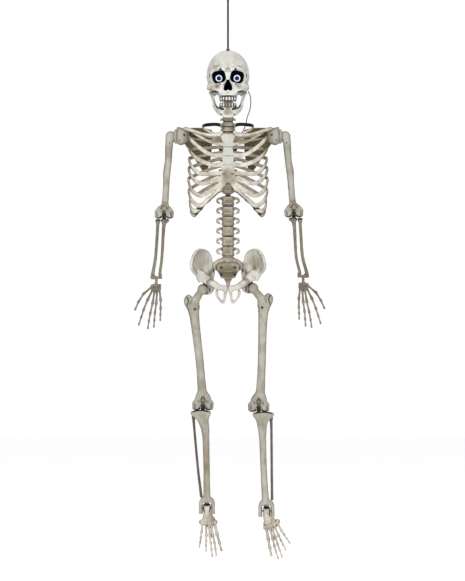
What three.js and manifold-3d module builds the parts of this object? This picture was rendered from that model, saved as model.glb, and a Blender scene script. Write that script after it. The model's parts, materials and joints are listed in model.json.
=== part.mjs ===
// Poseable hanging skeleton figure, millimetres, +Z up, the figure faces -Y.
// The origin is the point that the hook hangs from. The figure's own left side is at +X.
import * as THREE from 'three';
import { mergeVertices } from 'three/addons/utils/BufferGeometryUtils.js';
import Module from 'manifold-3d';

const wasm = await Module();
wasm.setup();

// ---------- driving dimensions ----------
const GAP = 0.3; // air left between neighbouring pieces
const RUN = 0.4; // air left around a turning piece
const BALL_RUN = 1.1; // air left around a faceted ball
const FRONT_BACK_SEAM_Y = 2; // where the two rib-cage halves meet

const CORD = { radius: 2.6, sides: 8, steps: 8 };
const HOOK = { wire: 1.6, eyeZ: -16 };
const CROWN_Z = -168.5;

const SKULL = {
  centre: [0, 12, -238],
  radii: [63, 78, 69.5],
  wall: 3,
  seamY: 15,
  baseZ: -318,
};
const EYE = { x: 27.5, y: -54, z: -251, rim: 18.5, depth: 22, wall: 1.5, lens: 10.5 };
const JAW = { x: 51, y: 8, z: -296, disc: 6.5, pin: 1.6 };
const NECK = { y: 22, bottomZ: -411.7, peg: 9, radius: 17 };

const STERNUM = { topZ: -420, bottomZ: -566, thick: 8, topY: -46, lean: 0.13 };
const SPINE = { radius: 15, topZ: -412, bottomZ: -597.5, topY: 34, midY: 46, bottomY: 40 };
const RIB = { radius: 5, sides: 4, steps: 4 };
const WAIST = { y: 40, peg: 8, topZ: -604 };
const LUMBAR = { radius: 18, disc: 15.5, bottomZ: -786, bottomY: 27, count: 6 };

const SHOULDER = { x: 171, y: 8, z: -426, ball: 16, hubFrom: 153.3, hubTo: 164, hubRadius: 14 };
const HIP_BALL = 16;
const HIP_HUB = { from: 21.5, to: 9, radius: 10.5 }; // measured inwards from the ball's centre

// Hinge knuckles: condyle radius and half width, slot half width, pin radius, relief behind the bend
const ELBOW = { condyle: 13, half: 28, slot: 6.2, pin: 2.6, relief: 7, front: true, shelf: 24 };
const KNEE = { condyle: 14, half: 31.5, slot: 7.2, pin: 3, relief: 7, front: false, shelf: 28 };
const ANKLE = { talus: 11, half: 12, fork: 24.5, drop: 18, crown: 16.5, pin: 2.6 };
const WRIST = { peg: 4, plateTop: 9 };

// Each limb's joint centres and bone ends, which differ a little from side to side as it hangs
const SIDES = [
  {
    name: 'right',
    out: -1,
    elbow: [-191, 6, -660],
    humerus: [[-175, 8, -440], [-179, 7, -499], [-184, 5, -560], [-187, 5, -610], [-191, 6, -645]],
    wrist: [-214.5, 2, -853],
    hip: [-75.4, 8, -884],
    trochanter: [-111, 12, -927],
    femur: [[-104, 10, -935], [-98, 2, -985], [-84, -5, -1105], [-77, -2, -1195], [-75, 2, -1222]],
    knee: [-75, 2, -1232],
    plateau: [-111, -52],
    tibia: [[-72, 2, -1262], [-67, 1, -1310], [-64, 4, -1420], [-63, 7, -1508]],
    fibula: [[-103, 10, -1268], [-101, 11, -1300], [-90, 12, -1420], [-80, 11, -1503]],
    ankle: [-63, 8, -1538],
    footTurn: 6.5,
  },
  {
    name: 'left',
    out: 1,
    elbow: [197, 6, -656],
    humerus: [[175, 8, -440], [180, 7, -499], [187, 5, -550], [191, 5, -603], [196, 6, -641]],
    wrist: [225, 2, -849],
    hip: [74.5, 8, -880],
    trochanter: [114, 12, -922],
    femur: [[108, 10, -930], [104, 2, -980], [101, -5, -1105], [97, -2, -1195], [93, 2, -1226]],
    knee: [92, 2, -1237],
    plateau: [75, 137],
    tibia: [[101, 2, -1267], [103, 1, -1315], [107, 4, -1425], [112, 7, -1515]],
    fibula: [[129, 10, -1273], [130, 11, -1305], [131, 12, -1425], [132, 11, -1511]],
    ankle: [115, 8, -1547],
    footTurn: 19,
  },
];

// Front ribs on the +X side, from the breastbone to the side seam
const FRONT_RIBS = [
  [[12, -49, -428], [45, -40, -418], [72, -20, -404], [76, 2, -397]],
  [[10, -52, -452], [48, -50, -446], [84, -36, -428], [104, -16, -416], [108, 2, -414]],
  [[12, -54, -484], [48, -56, -483], [80, -46, -465], [108, -24, -440], [120, 2, -426]],
  [[12, -60, -511], [47, -60, -513], [87, -48, -497], [106, -28, -481], [117, 2, -464]],
  [[12, -63, -536], [43, -62, -539], [84, -50, -538], [107, -27, -519], [118, 2, -492]],
  [[8, -65, -548], [50, -61, -563], [85, -48, -567], [110, -24, -545], [119, 2, -521]],
  [[3, -65, -556], [43, -60, -583], [78, -49, -604], [108, -24, -588], [120, 2, -553]],
  [[56, -54, -614], [84, -44, -634], [109, -22, -617], [119, 2, -587]],
  [[80, -36, -640], [100, -26, -650], [111, -12, -640], [115, 2, -617]],
];
const COSTAL_ARCH = [
  [2, -66, -555], [27, -64, -587], [43, -60, -603], [66, -48, -623], [84, -32, -644], [100, -12, -662],
];
const LAST_RIB = [[100, -12, -662], [108, -4, -657], [111, 2, -648]];
// Height at which each back rib leaves the spine, in the order of the front ribs
const SPINE_RIB_Z = [-420, -430, -442, -456, -472, -490, -510, -532, -556, -582];
// The first rib passes level behind the neck, then drops to the spine
const FIRST_BACK_RIB = [
  [76, 0, -397], [70, 24, -392], [51, 38, -389], [30, 44, -389], [17, 45, -396], [10, 46, -418],
];

// ---------- helpers ----------
const vec = (p) => new THREE.Vector3(...p);
const add = (a, b) => a.map((value, i) => value + b[i]);

function solid(geometry) {
  const bare = geometry.index ? geometry.toNonIndexed() : geometry.clone();
  bare.deleteAttribute('normal');
  bare.deleteAttribute('uv');
  const merged = mergeVertices(bare, 1e-3);
  const source = merged.index.array;
  const kept = [];
  for (let i = 0; i < source.length; i += 3) {
    const [a, b, c] = [source[i], source[i + 1], source[i + 2]];
    if (a !== b && b !== c && c !== a) kept.push(a, b, c);
  }
  const make = (faces) => new wasm.Manifold(new wasm.Mesh({
    numProp: 3,
    vertProperties: new Float32Array(merged.attributes.position.array),
    triVerts: new Uint32Array(faces),
  }));
  const first = make(kept);
  return first.volume() > 0 ? first : make(kept.reverse());
}

const join = (...pieces) => pieces.reduce((whole, piece) => whole.add(piece));
const cut = (whole, ...tools) => tools.reduce((rest, tool) => rest.subtract(tool), whole);

function ellipsoid(centre, radii, around = 10, down = 6) {
  const geometry = new THREE.SphereGeometry(1, around, down).rotateX(Math.PI / 2);
  return solid(geometry.scale(...radii).translate(...centre));
}

const ball = (centre, radius, around, down) => ellipsoid(centre, [radius, radius, radius], around, down);

function block(low, high) {
  const size = high.map((value, i) => value - low[i]);
  const middle = high.map((value, i) => (value + low[i]) / 2);
  return solid(new THREE.BoxGeometry(...size).translate(...middle));
}

function rod(from, to, radius, endRadius = radius, sides = 8) {
  const [a, b] = [vec(from), vec(to)];
  const along = b.clone().sub(a);
  const geometry = new THREE.CylinderGeometry(endRadius, radius, along.length(), sides);
  geometry.applyQuaternion(new THREE.Quaternion().setFromUnitVectors(
    new THREE.Vector3(0, 1, 0),
    along.clone().normalize(),
  ));
  const middle = a.add(b).multiplyScalar(0.5);
  return solid(geometry.translate(middle.x, middle.y, middle.z));
}

// A rod along X about a hinge axis
const axle = (centre, low, high, radius, sides = 12) => rod(
  [centre[0] + low, centre[1], centre[2]],
  [centre[0] + high, centre[1], centre[2]],
  radius,
  radius,
  sides,
);

function tube(points, radius, sides = 6, steps = 8, wide = 1) {
  const section = new THREE.Shape();
  for (let i = 0; i < sides; i += 1) {
    const angle = (i / sides) * 2 * Math.PI;
    const at = [radius * Math.cos(angle), radius * wide * Math.sin(angle)];
    if (i === 0) section.moveTo(...at);
    else section.lineTo(...at);
  }
  const extrudePath = new THREE.CatmullRomCurve3(points.map(vec));
  return solid(new THREE.ExtrudeGeometry(section, { steps, bevelEnabled: false, extrudePath }));
}

// A flat outline of (across, up) points, extruded along its own normal
function slab(outline, thick) {
  const shape = new THREE.Shape(outline.map(([x, y]) => new THREE.Vector2(x, y)));
  const geometry = new THREE.ExtrudeGeometry(shape, { depth: thick, bevelEnabled: false });
  return geometry.rotateX(Math.PI / 2).translate(0, thick / 2, 0);
}

// A turned piece about a vertical axis, from (radius, height) points
function turned(profile, x, y, around = 10) {
  const points = profile.map(([r, z]) => new THREE.Vector2(r, z));
  return solid(new THREE.LatheGeometry(points, around).rotateX(Math.PI / 2).translate(x, y, 0));
}

// Holes around a six-sided pin are wide enough for it to turn
const holeFor = (pinRadius) => pinRadius * 1.18 + 0.2;
const flip = (points, out) => points.map(([x, y, z]) => [x * out, y, z]);
const BONE = 0xcfcabd;
const BLACK = 0x151517;
const group = new THREE.Group();

function piece(name, body, color = BONE, roughness = 0.6, metalness = 0) {
  const { vertProperties, triVerts } = body.getMesh();
  const geometry = new THREE.BufferGeometry();
  geometry.setAttribute('position', new THREE.BufferAttribute(new Float32Array(vertProperties), 3));
  geometry.setIndex(new THREE.BufferAttribute(new Uint32Array(triVerts), 1));
  geometry.computeVertexNormals();
  const material = new THREE.MeshStandardMaterial({ color, roughness, metalness });
  const mesh = new THREE.Mesh(geometry, material);
  mesh.name = name;
  group.add(mesh);
}

// ---------- hanging gear ----------
function hangingGear() {
  const w = HOOK.wire;
  const hookPath = [
    [0, 0, HOOK.eyeZ], [0, 0, HOOK.eyeZ + 4], [4.5, 0, -8], [5.6, 0, -3.5],
    [4.2, 0, 0.2], [0, 0, w], [-4.2, 0, 0.2], [-5.6, 0, -3.5], [-5.2, 0, -7],
  ];
  piece('hanging_hook', tube(hookPath, w, 6, 16), 0x2a2a2c, 0.35, 0.9);
  const cordTop = HOOK.eyeZ - GAP;
  const cordEnd = CROWN_Z + 4.5 + GAP;
  const cordLine = [[0, 0, cordTop], [0, 0, cordEnd]];
  piece('hanging_cord', tube(cordLine, CORD.radius, CORD.sides, CORD.steps), BLACK, 0.8);
  const eyelet = turned([
    [0, CROWN_Z + 4.5], [4, CROWN_Z + 4], [6.5, CROWN_Z + 1.2], [6.5, CROWN_Z + 0.6],
    [3.2, CROWN_Z + 0.6], [3.2, CROWN_Z - 8], [7, CROWN_Z - 8], [7, CROWN_Z - 10], [0, CROWN_Z - 10],
  ], 0, 0, 8);
  piece('hanging_eyelet', eyelet, 0x1c1c1e, 0.5);
}

// ---------- head ----------
function skullSolid() {
  const { centre, radii, wall, baseZ } = SKULL;
  const cranium = ellipsoid(centre, radii, 14, 9);
  const cheeks = ellipsoid([0, -34, -278], [46, 42, 30], 10, 6);
  const maxilla = ellipsoid([0, -46, -298], [28, 28, 23], 8, 5);
  const base = rod([0, NECK.y, baseZ], [0, NECK.y, baseZ + 22], 24, 30, 10);
  let skull = join(cranium, cheeks, maxilla, base);
  for (const out of [-1, 1]) {
    skull = join(
      skull,
      ellipsoid([48 * out, -26, -284], [13, 25, 9], 6, 4),
      rod([(JAW.x - 6.5) * out, JAW.y, JAW.z], [24 * out, JAW.y, JAW.z], 5.5, 5.5, 6),
      rod([38 * out, JAW.y, JAW.z], [34 * out, JAW.y, -270], 5.5, 9, 6),
    );
  }
  const hollow = join(
    ellipsoid(centre, radii.map((r) => r - wall - 1), 12, 7),
    ellipsoid([0, -30, -274], [36, 36, 22], 8, 5),
  );
  const floor = rod([0, NECK.y, baseZ - 1], [0, NECK.y, baseZ + 9], 24, 26, 10);
  const shell = join(cut(skull, hollow), floor);
  const sockets = [-1, 1].map((out) => {
    const [x, z] = [EYE.x * out, EYE.z];
    return rod([x, EYE.y - 60, z], [x, EYE.y + EYE.depth + 2, z], EYE.rim + 1.2, EYE.rim + 1.2, 12);
  });
  const pins = [-1, 1].map((out) => axle([JAW.x * out, JAW.y, JAW.z], -16, 16, holeFor(JAW.pin), 6));
  return cut(
    shell,
    ...sockets,
    ...pins,
    rod([0, -110, -278], [0, -52, -276], 13, 9, 6),
    block([-40, -90, -340], [40, -20, -319.5]),
    rod([0, NECK.y, baseZ - 5], [0, NECK.y, baseZ + 30], NECK.peg + RUN, NECK.peg + RUN, 12),
    rod([0, NECK.y, baseZ + 9], [0, NECK.y, baseZ + 30], 15, 15, 10),
    block([-60, -100, baseZ - 20], [60, 100, baseZ]),
    rod([0, 0, CROWN_Z - 20], [0, 0, CROWN_Z + 20], 3.2 + GAP, 3.2 + GAP, 8),
    rod([0, 0, CROWN_Z - 6], [0, 0, CROWN_Z - 30], 7 + GAP, 7 + GAP, 8),
    rod([0, 0, CROWN_Z + 0.3], [0, 0, CROWN_Z + 20], 7, 7, 8),
  );
}

function head() {
  const skull = skullSolid();
  const behind = block([-120, SKULL.seamY, -400], [120, 200, 0]);
  const before = block([-120, -200, -400], [120, SKULL.seamY + GAP, 0]);
  piece('skull_front', cut(skull, behind), 0xd9d6cd);
  piece('skull_back', cut(skull, before), 0xd4d0c6);
  for (const [side, out] of [['right', -1], ['left', 1]]) {
    const { y, z, rim, depth, wall, lens } = EYE;
    const x = EYE.x * out;
    const back = y + depth;
    const cup = cut(
      rod([x, y, z], [x, back, z], rim, 13.5, 12),
      rod([x, y - 1, z], [x, back - wall, z], rim - wall + 0.3, 13.5 - wall + 0.4, 12),
      rod([x, back - 6, z], [x, back + 2, z], 2.8, 2.8, 6),
    );
    piece(`${side}_eye_cup`, cup, BLACK, 0.7);
    const lensY = back - 6.5;
    const dome = ellipsoid([x * 0.97, lensY, z - 1.2], [lens, 4.5, lens], 12, 6);
    piece(`${side}_eye_lens`, cut(dome, block([-90, lensY, -300], [90, 0, -200])), 0xbfd8f5, 0.2);
    piece(`${side}_eye_led`, rod([x, lensY + GAP, z], [x, back + 5, z], 2.5, 2.5, 6), 0xe8f2ff, 0.2);
    const pin = axle([JAW.x * out, JAW.y, JAW.z], out > 0 ? -11 : -7, out > 0 ? 7 : 11, JAW.pin, 6);
    piece(`${side}_jaw_pin`, pin, 0x8a8a8a, 0.4, 0.8);
  }
}

function uBand(outer, inner, low, high) {
  const shape = new THREE.Shape();
  shape.absellipse(0, 0, outer[0], outer[1], Math.PI, 2 * Math.PI, false, 0);
  shape.lineTo(inner[0], 0);
  const back = new THREE.Path();
  back.absellipse(0, 0, inner[0], inner[1], 2 * Math.PI, Math.PI, true, 0);
  back.getPoints(5).forEach((p) => shape.lineTo(p.x, p.y));
  shape.closePath();
  const flat = new THREE.Shape(shape.getPoints(6));
  const settings = { depth: high - low, bevelEnabled: false, curveSegments: 6 };
  const geometry = new THREE.ExtrudeGeometry(flat, settings);
  return solid(geometry.translate(0, 0, low));
}

function jaw() {
  let bone = join(
    uBand([37, 62], [27, 50], -366, -341),
    uBand([25, 60], [17, 50], -342, -328),
  );
  bone = cut(bone, block([-30, -36, -340.8], [30, 5, -320]));
  for (const out of [-1, 1]) {
    bone = join(
      bone,
      rod([33.5 * out, -4, -350], [JAW.x * out, JAW.y, JAW.z - 4], 9, 5, 8),
      axle([JAW.x * out, JAW.y, JAW.z], -5, 5, JAW.disc, 10),
    );
  }
  const clearances = [-1, 1].flatMap((out) => [
    axle([JAW.x * out, JAW.y, JAW.z], -9, 9, holeFor(JAW.pin), 6),
    out > 0
      ? axle([JAW.x, JAW.y, JAW.z], -14, -5, 7.5, 10)
      : axle([-JAW.x, JAW.y, JAW.z], 5, 14, 7.5, 10),
  ]);
  piece('jaw', cut(bone, ...clearances), 0xd6d2c8);
}

// ---------- trunk ----------
function neck() {
  const top = SKULL.baseZ - RUN;
  const r = NECK.radius;
  const collar = { radius: 12, low: SKULL.baseZ + 10, high: SKULL.baseZ + 14 };
  const profile = [
    [0, collar.high], [collar.radius, collar.high], [collar.radius, collar.low], [NECK.peg, collar.low],
    [NECK.peg, top], [r - 3, top],
  ];
  const bones = 5;
  const step = (top - NECK.bottomZ) / bones;
  for (let i = 0; i < bones; i += 1) {
    const z = top - i * step;
    profile.push([r, z - step * 0.2], [r + 1, z - step * 0.7], [r - 3, z - step * 0.95]);
  }
  profile.push([r - 3, NECK.bottomZ], [0, NECK.bottomZ]);
  piece('neck_spine', turned(profile, 0, NECK.y), 0xb9b3a4);
}

function ribCage() {
  const half = new THREE.Shape();
  const outline = [[-20, 0], [-22, -10], [-15, -38], [-18, -66], [-19, -110], [-12, -134], [0, -146]];
  outline.forEach(([x, z], i) => (i ? half.lineTo(x, z) : half.moveTo(x, z)));
  outline.slice(0, -1).reverse().forEach(([x, z]) => half.lineTo(-x, z));
  const plate = new THREE.ExtrudeGeometry(half, { depth: STERNUM.thick, bevelEnabled: false });
  plate.rotateX(Math.PI / 2).rotateX(-STERNUM.lean).translate(0, STERNUM.topY, STERNUM.topZ);
  let front = solid(plate);
  for (const out of [-1, 1]) {
    const arch = tube(flip([...COSTAL_ARCH, ...LAST_RIB.slice(1)], out), RIB.radius, RIB.sides, 8);
    const ribs = FRONT_RIBS.map((rib) => tube(flip(rib, out), RIB.radius, RIB.sides, RIB.steps));
    front = join(front, arch, ...ribs);
  }
  piece('rib_cage_front', cut(front, block([-200, FRONT_BACK_SEAM_Y, -700], [200, 200, -300])), 0xc6c1b4);

  let back = tube([
    [0, SPINE.topY, SPINE.topZ], [0, SPINE.midY, -455], [0, SPINE.midY + 2, -520],
    [0, SPINE.bottomY, SPINE.bottomZ + 14], [0, SPINE.bottomY, SPINE.bottomZ],
  ], SPINE.radius, 8, 5);
  const sideEnds = [...FRONT_RIBS.map((rib) => rib[rib.length - 1]), LAST_RIB[LAST_RIB.length - 1]];
  sideEnds.forEach(([x, , z], i) => {
    const spineZ = SPINE_RIB_Z[i];
    const rise = spineZ - z;
    const path = i === 0 ? FIRST_BACK_RIB : [
      [x, FRONT_BACK_SEAM_Y - 2, z],
      [x * 0.93, 24, z + rise * 0.12],
      [x * 0.68, 45, z + rise * 0.45],
      [x * 0.36, 54, z + rise * 0.8],
      [10, 46, spineZ],
    ];
    for (const out of [-1, 1]) back = join(back, tube(flip(path, out), RIB.radius, RIB.sides, RIB.steps));
  });
  const pegHole = WAIST.peg + RUN;
  const pegEnds = [[0, WAIST.y, SPINE.bottomZ - 5], [0, WAIST.y, SPINE.bottomZ + 13]];
  const socket = rod(...pegEnds, pegHole, pegHole, 12);
  const neckReach = NECK.radius + 2;
  const neckRoom = rod([0, NECK.y, NECK.bottomZ - GAP], [0, NECK.y, -370], neckReach, neckReach, 16);
  const seamCut = block([-200, -200, -700], [200, FRONT_BACK_SEAM_Y + GAP, -300]);
  piece('rib_cage_back', cut(back, socket, seamCut, neckRoom), 0xb4ad9c);
}

function shoulderGirdle(side) {
  const { out, name } = side;
  const lean = 0.62;
  const outline = [[0, 26], [38, 28], [81, 22], [83, -20], [77, -76], [56, -106], [30, -60], [0, -22]];
  const stretch = Math.hypot(1, lean);
  const plate = slab(outline.map(([x, z]) => [x * stretch, z]), 4);
  plate.rotateZ(Math.atan(lean)).scale(-1, 1, 1).translate(133, 28, SHOULDER.z);
  if (out < 0) plate.scale(-1, 1, 1);
  const { x, y, z } = SHOULDER;
  const centre = [x * out, y, z];
  const inner = out > 0 ? [-38, SHOULDER.hubFrom - GAP - x] : [x - SHOULDER.hubFrom + GAP, 38];
  const socketBlock = axle(centre, inner[0], inner[1], 21, 12);
  const acromion = ellipsoid([145 * out, y + 4, z + 21], [14, 12, 7], 8, 4);
  const backSpine = tube(flip([[136, 22, z + 22], [110, 44, z + 12], [70, 68, z + 2]], out), 4, 5, 5);
  const bone = join(solid(plate), socketBlock, acromion, backSpine);
  piece(`${name}_scapula`, cut(bone, ball(centre, SHOULDER.ball + 1, 10, 6)), 0x9a917b);
  const collar = [[24, -56, -420], [58, -62, -415], [98, -42, -408], [127, -12, -403]];
  piece(`${name}_clavicle`, tube(flip(collar, out), 5.5, 6, 6), 0xcbc6b9);
}

// ---------- lighting supply on the back ----------
const BOX = { x: 19, front: 66, back: 86, bottom: -520, top: -452, wall: 1.6 };

function supply() {
  const { x, front, back, bottom, top, wall } = BOX;
  const inside = [[-x + wall, front + wall, bottom + 8], [x - wall, back + 1, top - wall]];
  const slot = block([-6, front + 6, bottom - 1], [6, front + 11, bottom + 4]);
  const holeRadius = WIRE.radius + 0.5;
  const wireHole = rod([0, front + 10, top - 3], [0, front + 10, top + 3], holeRadius, holeRadius, 8);
  const tray = cut(block([-x, front, bottom], [x, back, top]), block(...inside), slot, wireHole);
  piece('battery_box', tray, 0x1b1b1d, 0.6);
  const door = cut(
    block([-x, back + GAP, bottom], [x, back + 2.3, top]),
    rod([0, back - 2, bottom + 4], [0, back + 5, bottom + 4], 1.4, 1.4, 8),
  );
  piece('battery_door', door, 0x222225, 0.6);
  const screw = rod([0, back + GAP, bottom + 4], [0, back + 3, bottom + 4], 1.1, 1.1, 8);
  piece('battery_door_screw', screw, 0x9a9a9a, 0.3, 0.9);
  for (const [i, out] of [-1, 1].entries()) {
    const at = [8 * out, front + wall + 8, 0];
    const cell = rod([at[0], at[1], bottom + 9], [at[0], at[1], bottom + 59], 7, 7, 12);
    piece(`battery_${i + 1}`, cell, 0x3c6a44, 0.4, 0.3);
  }
  const slider = block([-5.7, front + 6.3, bottom - 2.5], [-1.7, front + 10.7, bottom + 3.7]);
  piece('power_switch', slider, 0x808084, 0.5);
}

// The light wire: its points are shared by the head stretch and the trunk stretch
const WIRE = {
  radius: 1.3,
  head: [
    [60, 26, -290], [65, 30, -298], [68, 34, -312], [68, 38, -330], [64, 42, -350], [58, 45, -366],
    [55, 48, -381],
  ],
  trunk: [[54, 50, -384.5], [50, 60, -398], [38, 71, -416], [20, 77, -430], [6, 77, -440], [0, 76, -451.6]],
};

function wires() {
  piece('led_wire_upper', tube(WIRE.head, WIRE.radius, 8, 18), BLACK, 0.6);
  piece('led_wire_lower', tube(WIRE.trunk, WIRE.radius, 8, 20), BLACK, 0.6);
}

// ---------- waist and pelvis ----------
function lumbar() {
  const { radius, disc, bottomZ, bottomY, count } = LUMBAR;
  const height = (WAIST.topZ - bottomZ - GAP) / count;
  const tilt = Math.atan((WAIST.y - bottomY) / (WAIST.topZ - bottomZ));
  const profile = [[0, 0]];
  for (let i = 0; i < count; i += 1) {
    const high = -i * height;
    profile.push([i ? radius : disc, high], [radius - 1, high - height + 6], [disc, high - height + 5]);
  }
  profile.push([disc, -count * height], [0, -count * height]);
  const body = new THREE.LatheGeometry(profile.map(([r, z]) => new THREE.Vector2(r, z)), 9);
  body.rotateX(Math.PI / 2 - tilt).translate(0, WAIST.y, WAIST.topZ);
  const level = block([-80, -80, WAIST.topZ], [80, 120, WAIST.topZ + 40]);
  const peg = rod([0, WAIST.y, WAIST.topZ - 2], [0, WAIST.y, WAIST.topZ + 18], WAIST.peg, WAIST.peg, 12);
  let column = cut(solid(body), level, block([-80, -80, bottomZ - 40], [80, 120, bottomZ + GAP]));
  column = join(column, peg);
  for (let i = 0; i < count; i += 1) {
    const z = WAIST.topZ - i * height - 14;
    const y = WAIST.y + ((bottomY - WAIST.y) * (i + 0.5)) / count + 8;
    column = join(
      column,
      rod([-34, y, z], [34, y, z], 4, 4, 4),
      rod([0, y, z - 2], [0, y + 24, z - 8], 4.5, 3.5, 4),
    );
  }
  piece('lumbar_spine', column, 0xb8b09f);
}

function sacrum() {
  const outline = [[24, 0], [44, -4], [46, -18], [38, -36], [24, -52], [12, -64], [7, -80], [3, -91]];
  const whole = [...outline, ...outline.slice().reverse().map(([x, z]) => [-x, z])];
  const plate = slab(whole, 14);
  plate.rotateX(0.28).translate(0, LUMBAR.bottomY + 8, LUMBAR.bottomZ - 3);
  const bone = cut(solid(plate), block([-80, -50, LUMBAR.bottomZ - 2.2], [80, 100, LUMBAR.bottomZ + 20]));
  piece('sacrum', bone, 0xa59c87);
}

function hipBone(side) {
  const { out, name, hip } = side;
  const lean = 1.2;
  const stretch = Math.hypot(1, lean);
  const wing = [
    [4, -24], [8, -6], [22, 12], [40, 16], [56, 6], [66, -12], [69, -32], [66, -50], [50, -66], [40, -84],
    [8, -92], [2, -74], [-1, -52],
  ];
  const plate = slab(wing.map(([x, z]) => [x * stretch, z]), 7);
  plate.rotateZ(-Math.atan(lean)).translate(47, 46, -778);
  if (out < 0) plate.scale(-1, 1, 1);
  const [hx, hy, hz] = hip;
  const reach = (dx) => hx - dx * out;
  const cup = ellipsoid([reach(13), hy, hz + 9], [25, 22, 27], 8, 6);
  const ramus = tube([
    [reach(16), hy - 14, hz - 2], [38 * out, -30, -889], [22 * out, -40, -890], [6 * out, -44, -885],
  ], 7, 5, 4);
  const loop = tube([
    [34 * out, -30, -892], [31 * out, -24, -906], [15 * out, -24, -921], [9 * out, -34, -908],
    [8 * out, -43, -890],
  ], 4, 4, 6);
  let bone = join(solid(plate), cup, ramus, loop);
  const clear = HIP_BALL + 1.6;
  const hubPocket = axle([hx, hy, hz], -HIP_HUB.from - GAP, HIP_HUB.from + GAP, HIP_HUB.radius + RUN);
  const outside = out > 0
    ? block([hx, hy - 60, hz - 60], [hx + 80, hy + 60, hz + 22])
    : block([hx - 80, hy - 60, hz - 60], [hx, hy + 60, hz + 22]);
  const middle = block([-0.6, -100, -1000], [0.6, 100, -700]);
  bone = cut(bone, ball([hx, hy, hz], clear, 10, 6), hubPocket, outside, middle);
  const wrongSide = out > 0
    ? block([-200, -100, -1000], [0.5, 100, -700])
    : block([-0.5, -100, -1000], [200, 100, -700]);
  piece(`${name}_hip_bone`, cut(bone, wrongSide), 0xc4bfb0);
}

// ---------- hinge ends shared by elbow and knee ----------
function condyleEnd(shaft, joint, at) {
  const away = joint.front ? -1 : 1;
  const relief = [at[1] + away * joint.relief, at[1] + away * 40].sort((a, b) => a - b);
  return cut(
    join(shaft, axle(at, -joint.half, joint.half, joint.condyle)),
    axle(at, -joint.slot, joint.slot, joint.condyle + 1),
    block([at[0] - 60, relief[0], at[2] + 10], [at[0] + 60, relief[1], at[2] + joint.shelf + 10]),
    axle(at, -50, 50, holeFor(joint.pin), 6),
  );
}

function hingePin(name, joint, at) {
  piece(name, axle(at, -joint.half + 1, joint.half - 1, joint.pin, 6), 0x77777a, 0.4, 0.8);
}

function shelfWithTongue(joint, at, low, high, depth) {
  const [front, back] = joint.front ? [depth.bend, depth.other] : [depth.other, depth.bend];
  const shelf = cut(
    block([low, at[1] - front, at[2] - joint.shelf], [high, at[1] + back, at[2] - 6]),
    axle(at, -80, 80, joint.condyle + 0.9, 12),
  );
  const tongue = join(
    axle(at, -joint.slot + GAP * 2, joint.slot - GAP * 2, joint.condyle - 2),
    block(
      [at[0] - joint.slot + GAP * 2, at[1] - 6, at[2] - joint.shelf + 2],
      [at[0] + joint.slot - GAP * 2, at[1] + 6, at[2] - 6],
    ),
  );
  return cut(join(shelf, tongue), axle(at, -80, 80, holeFor(joint.pin), 6));
}

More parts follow.
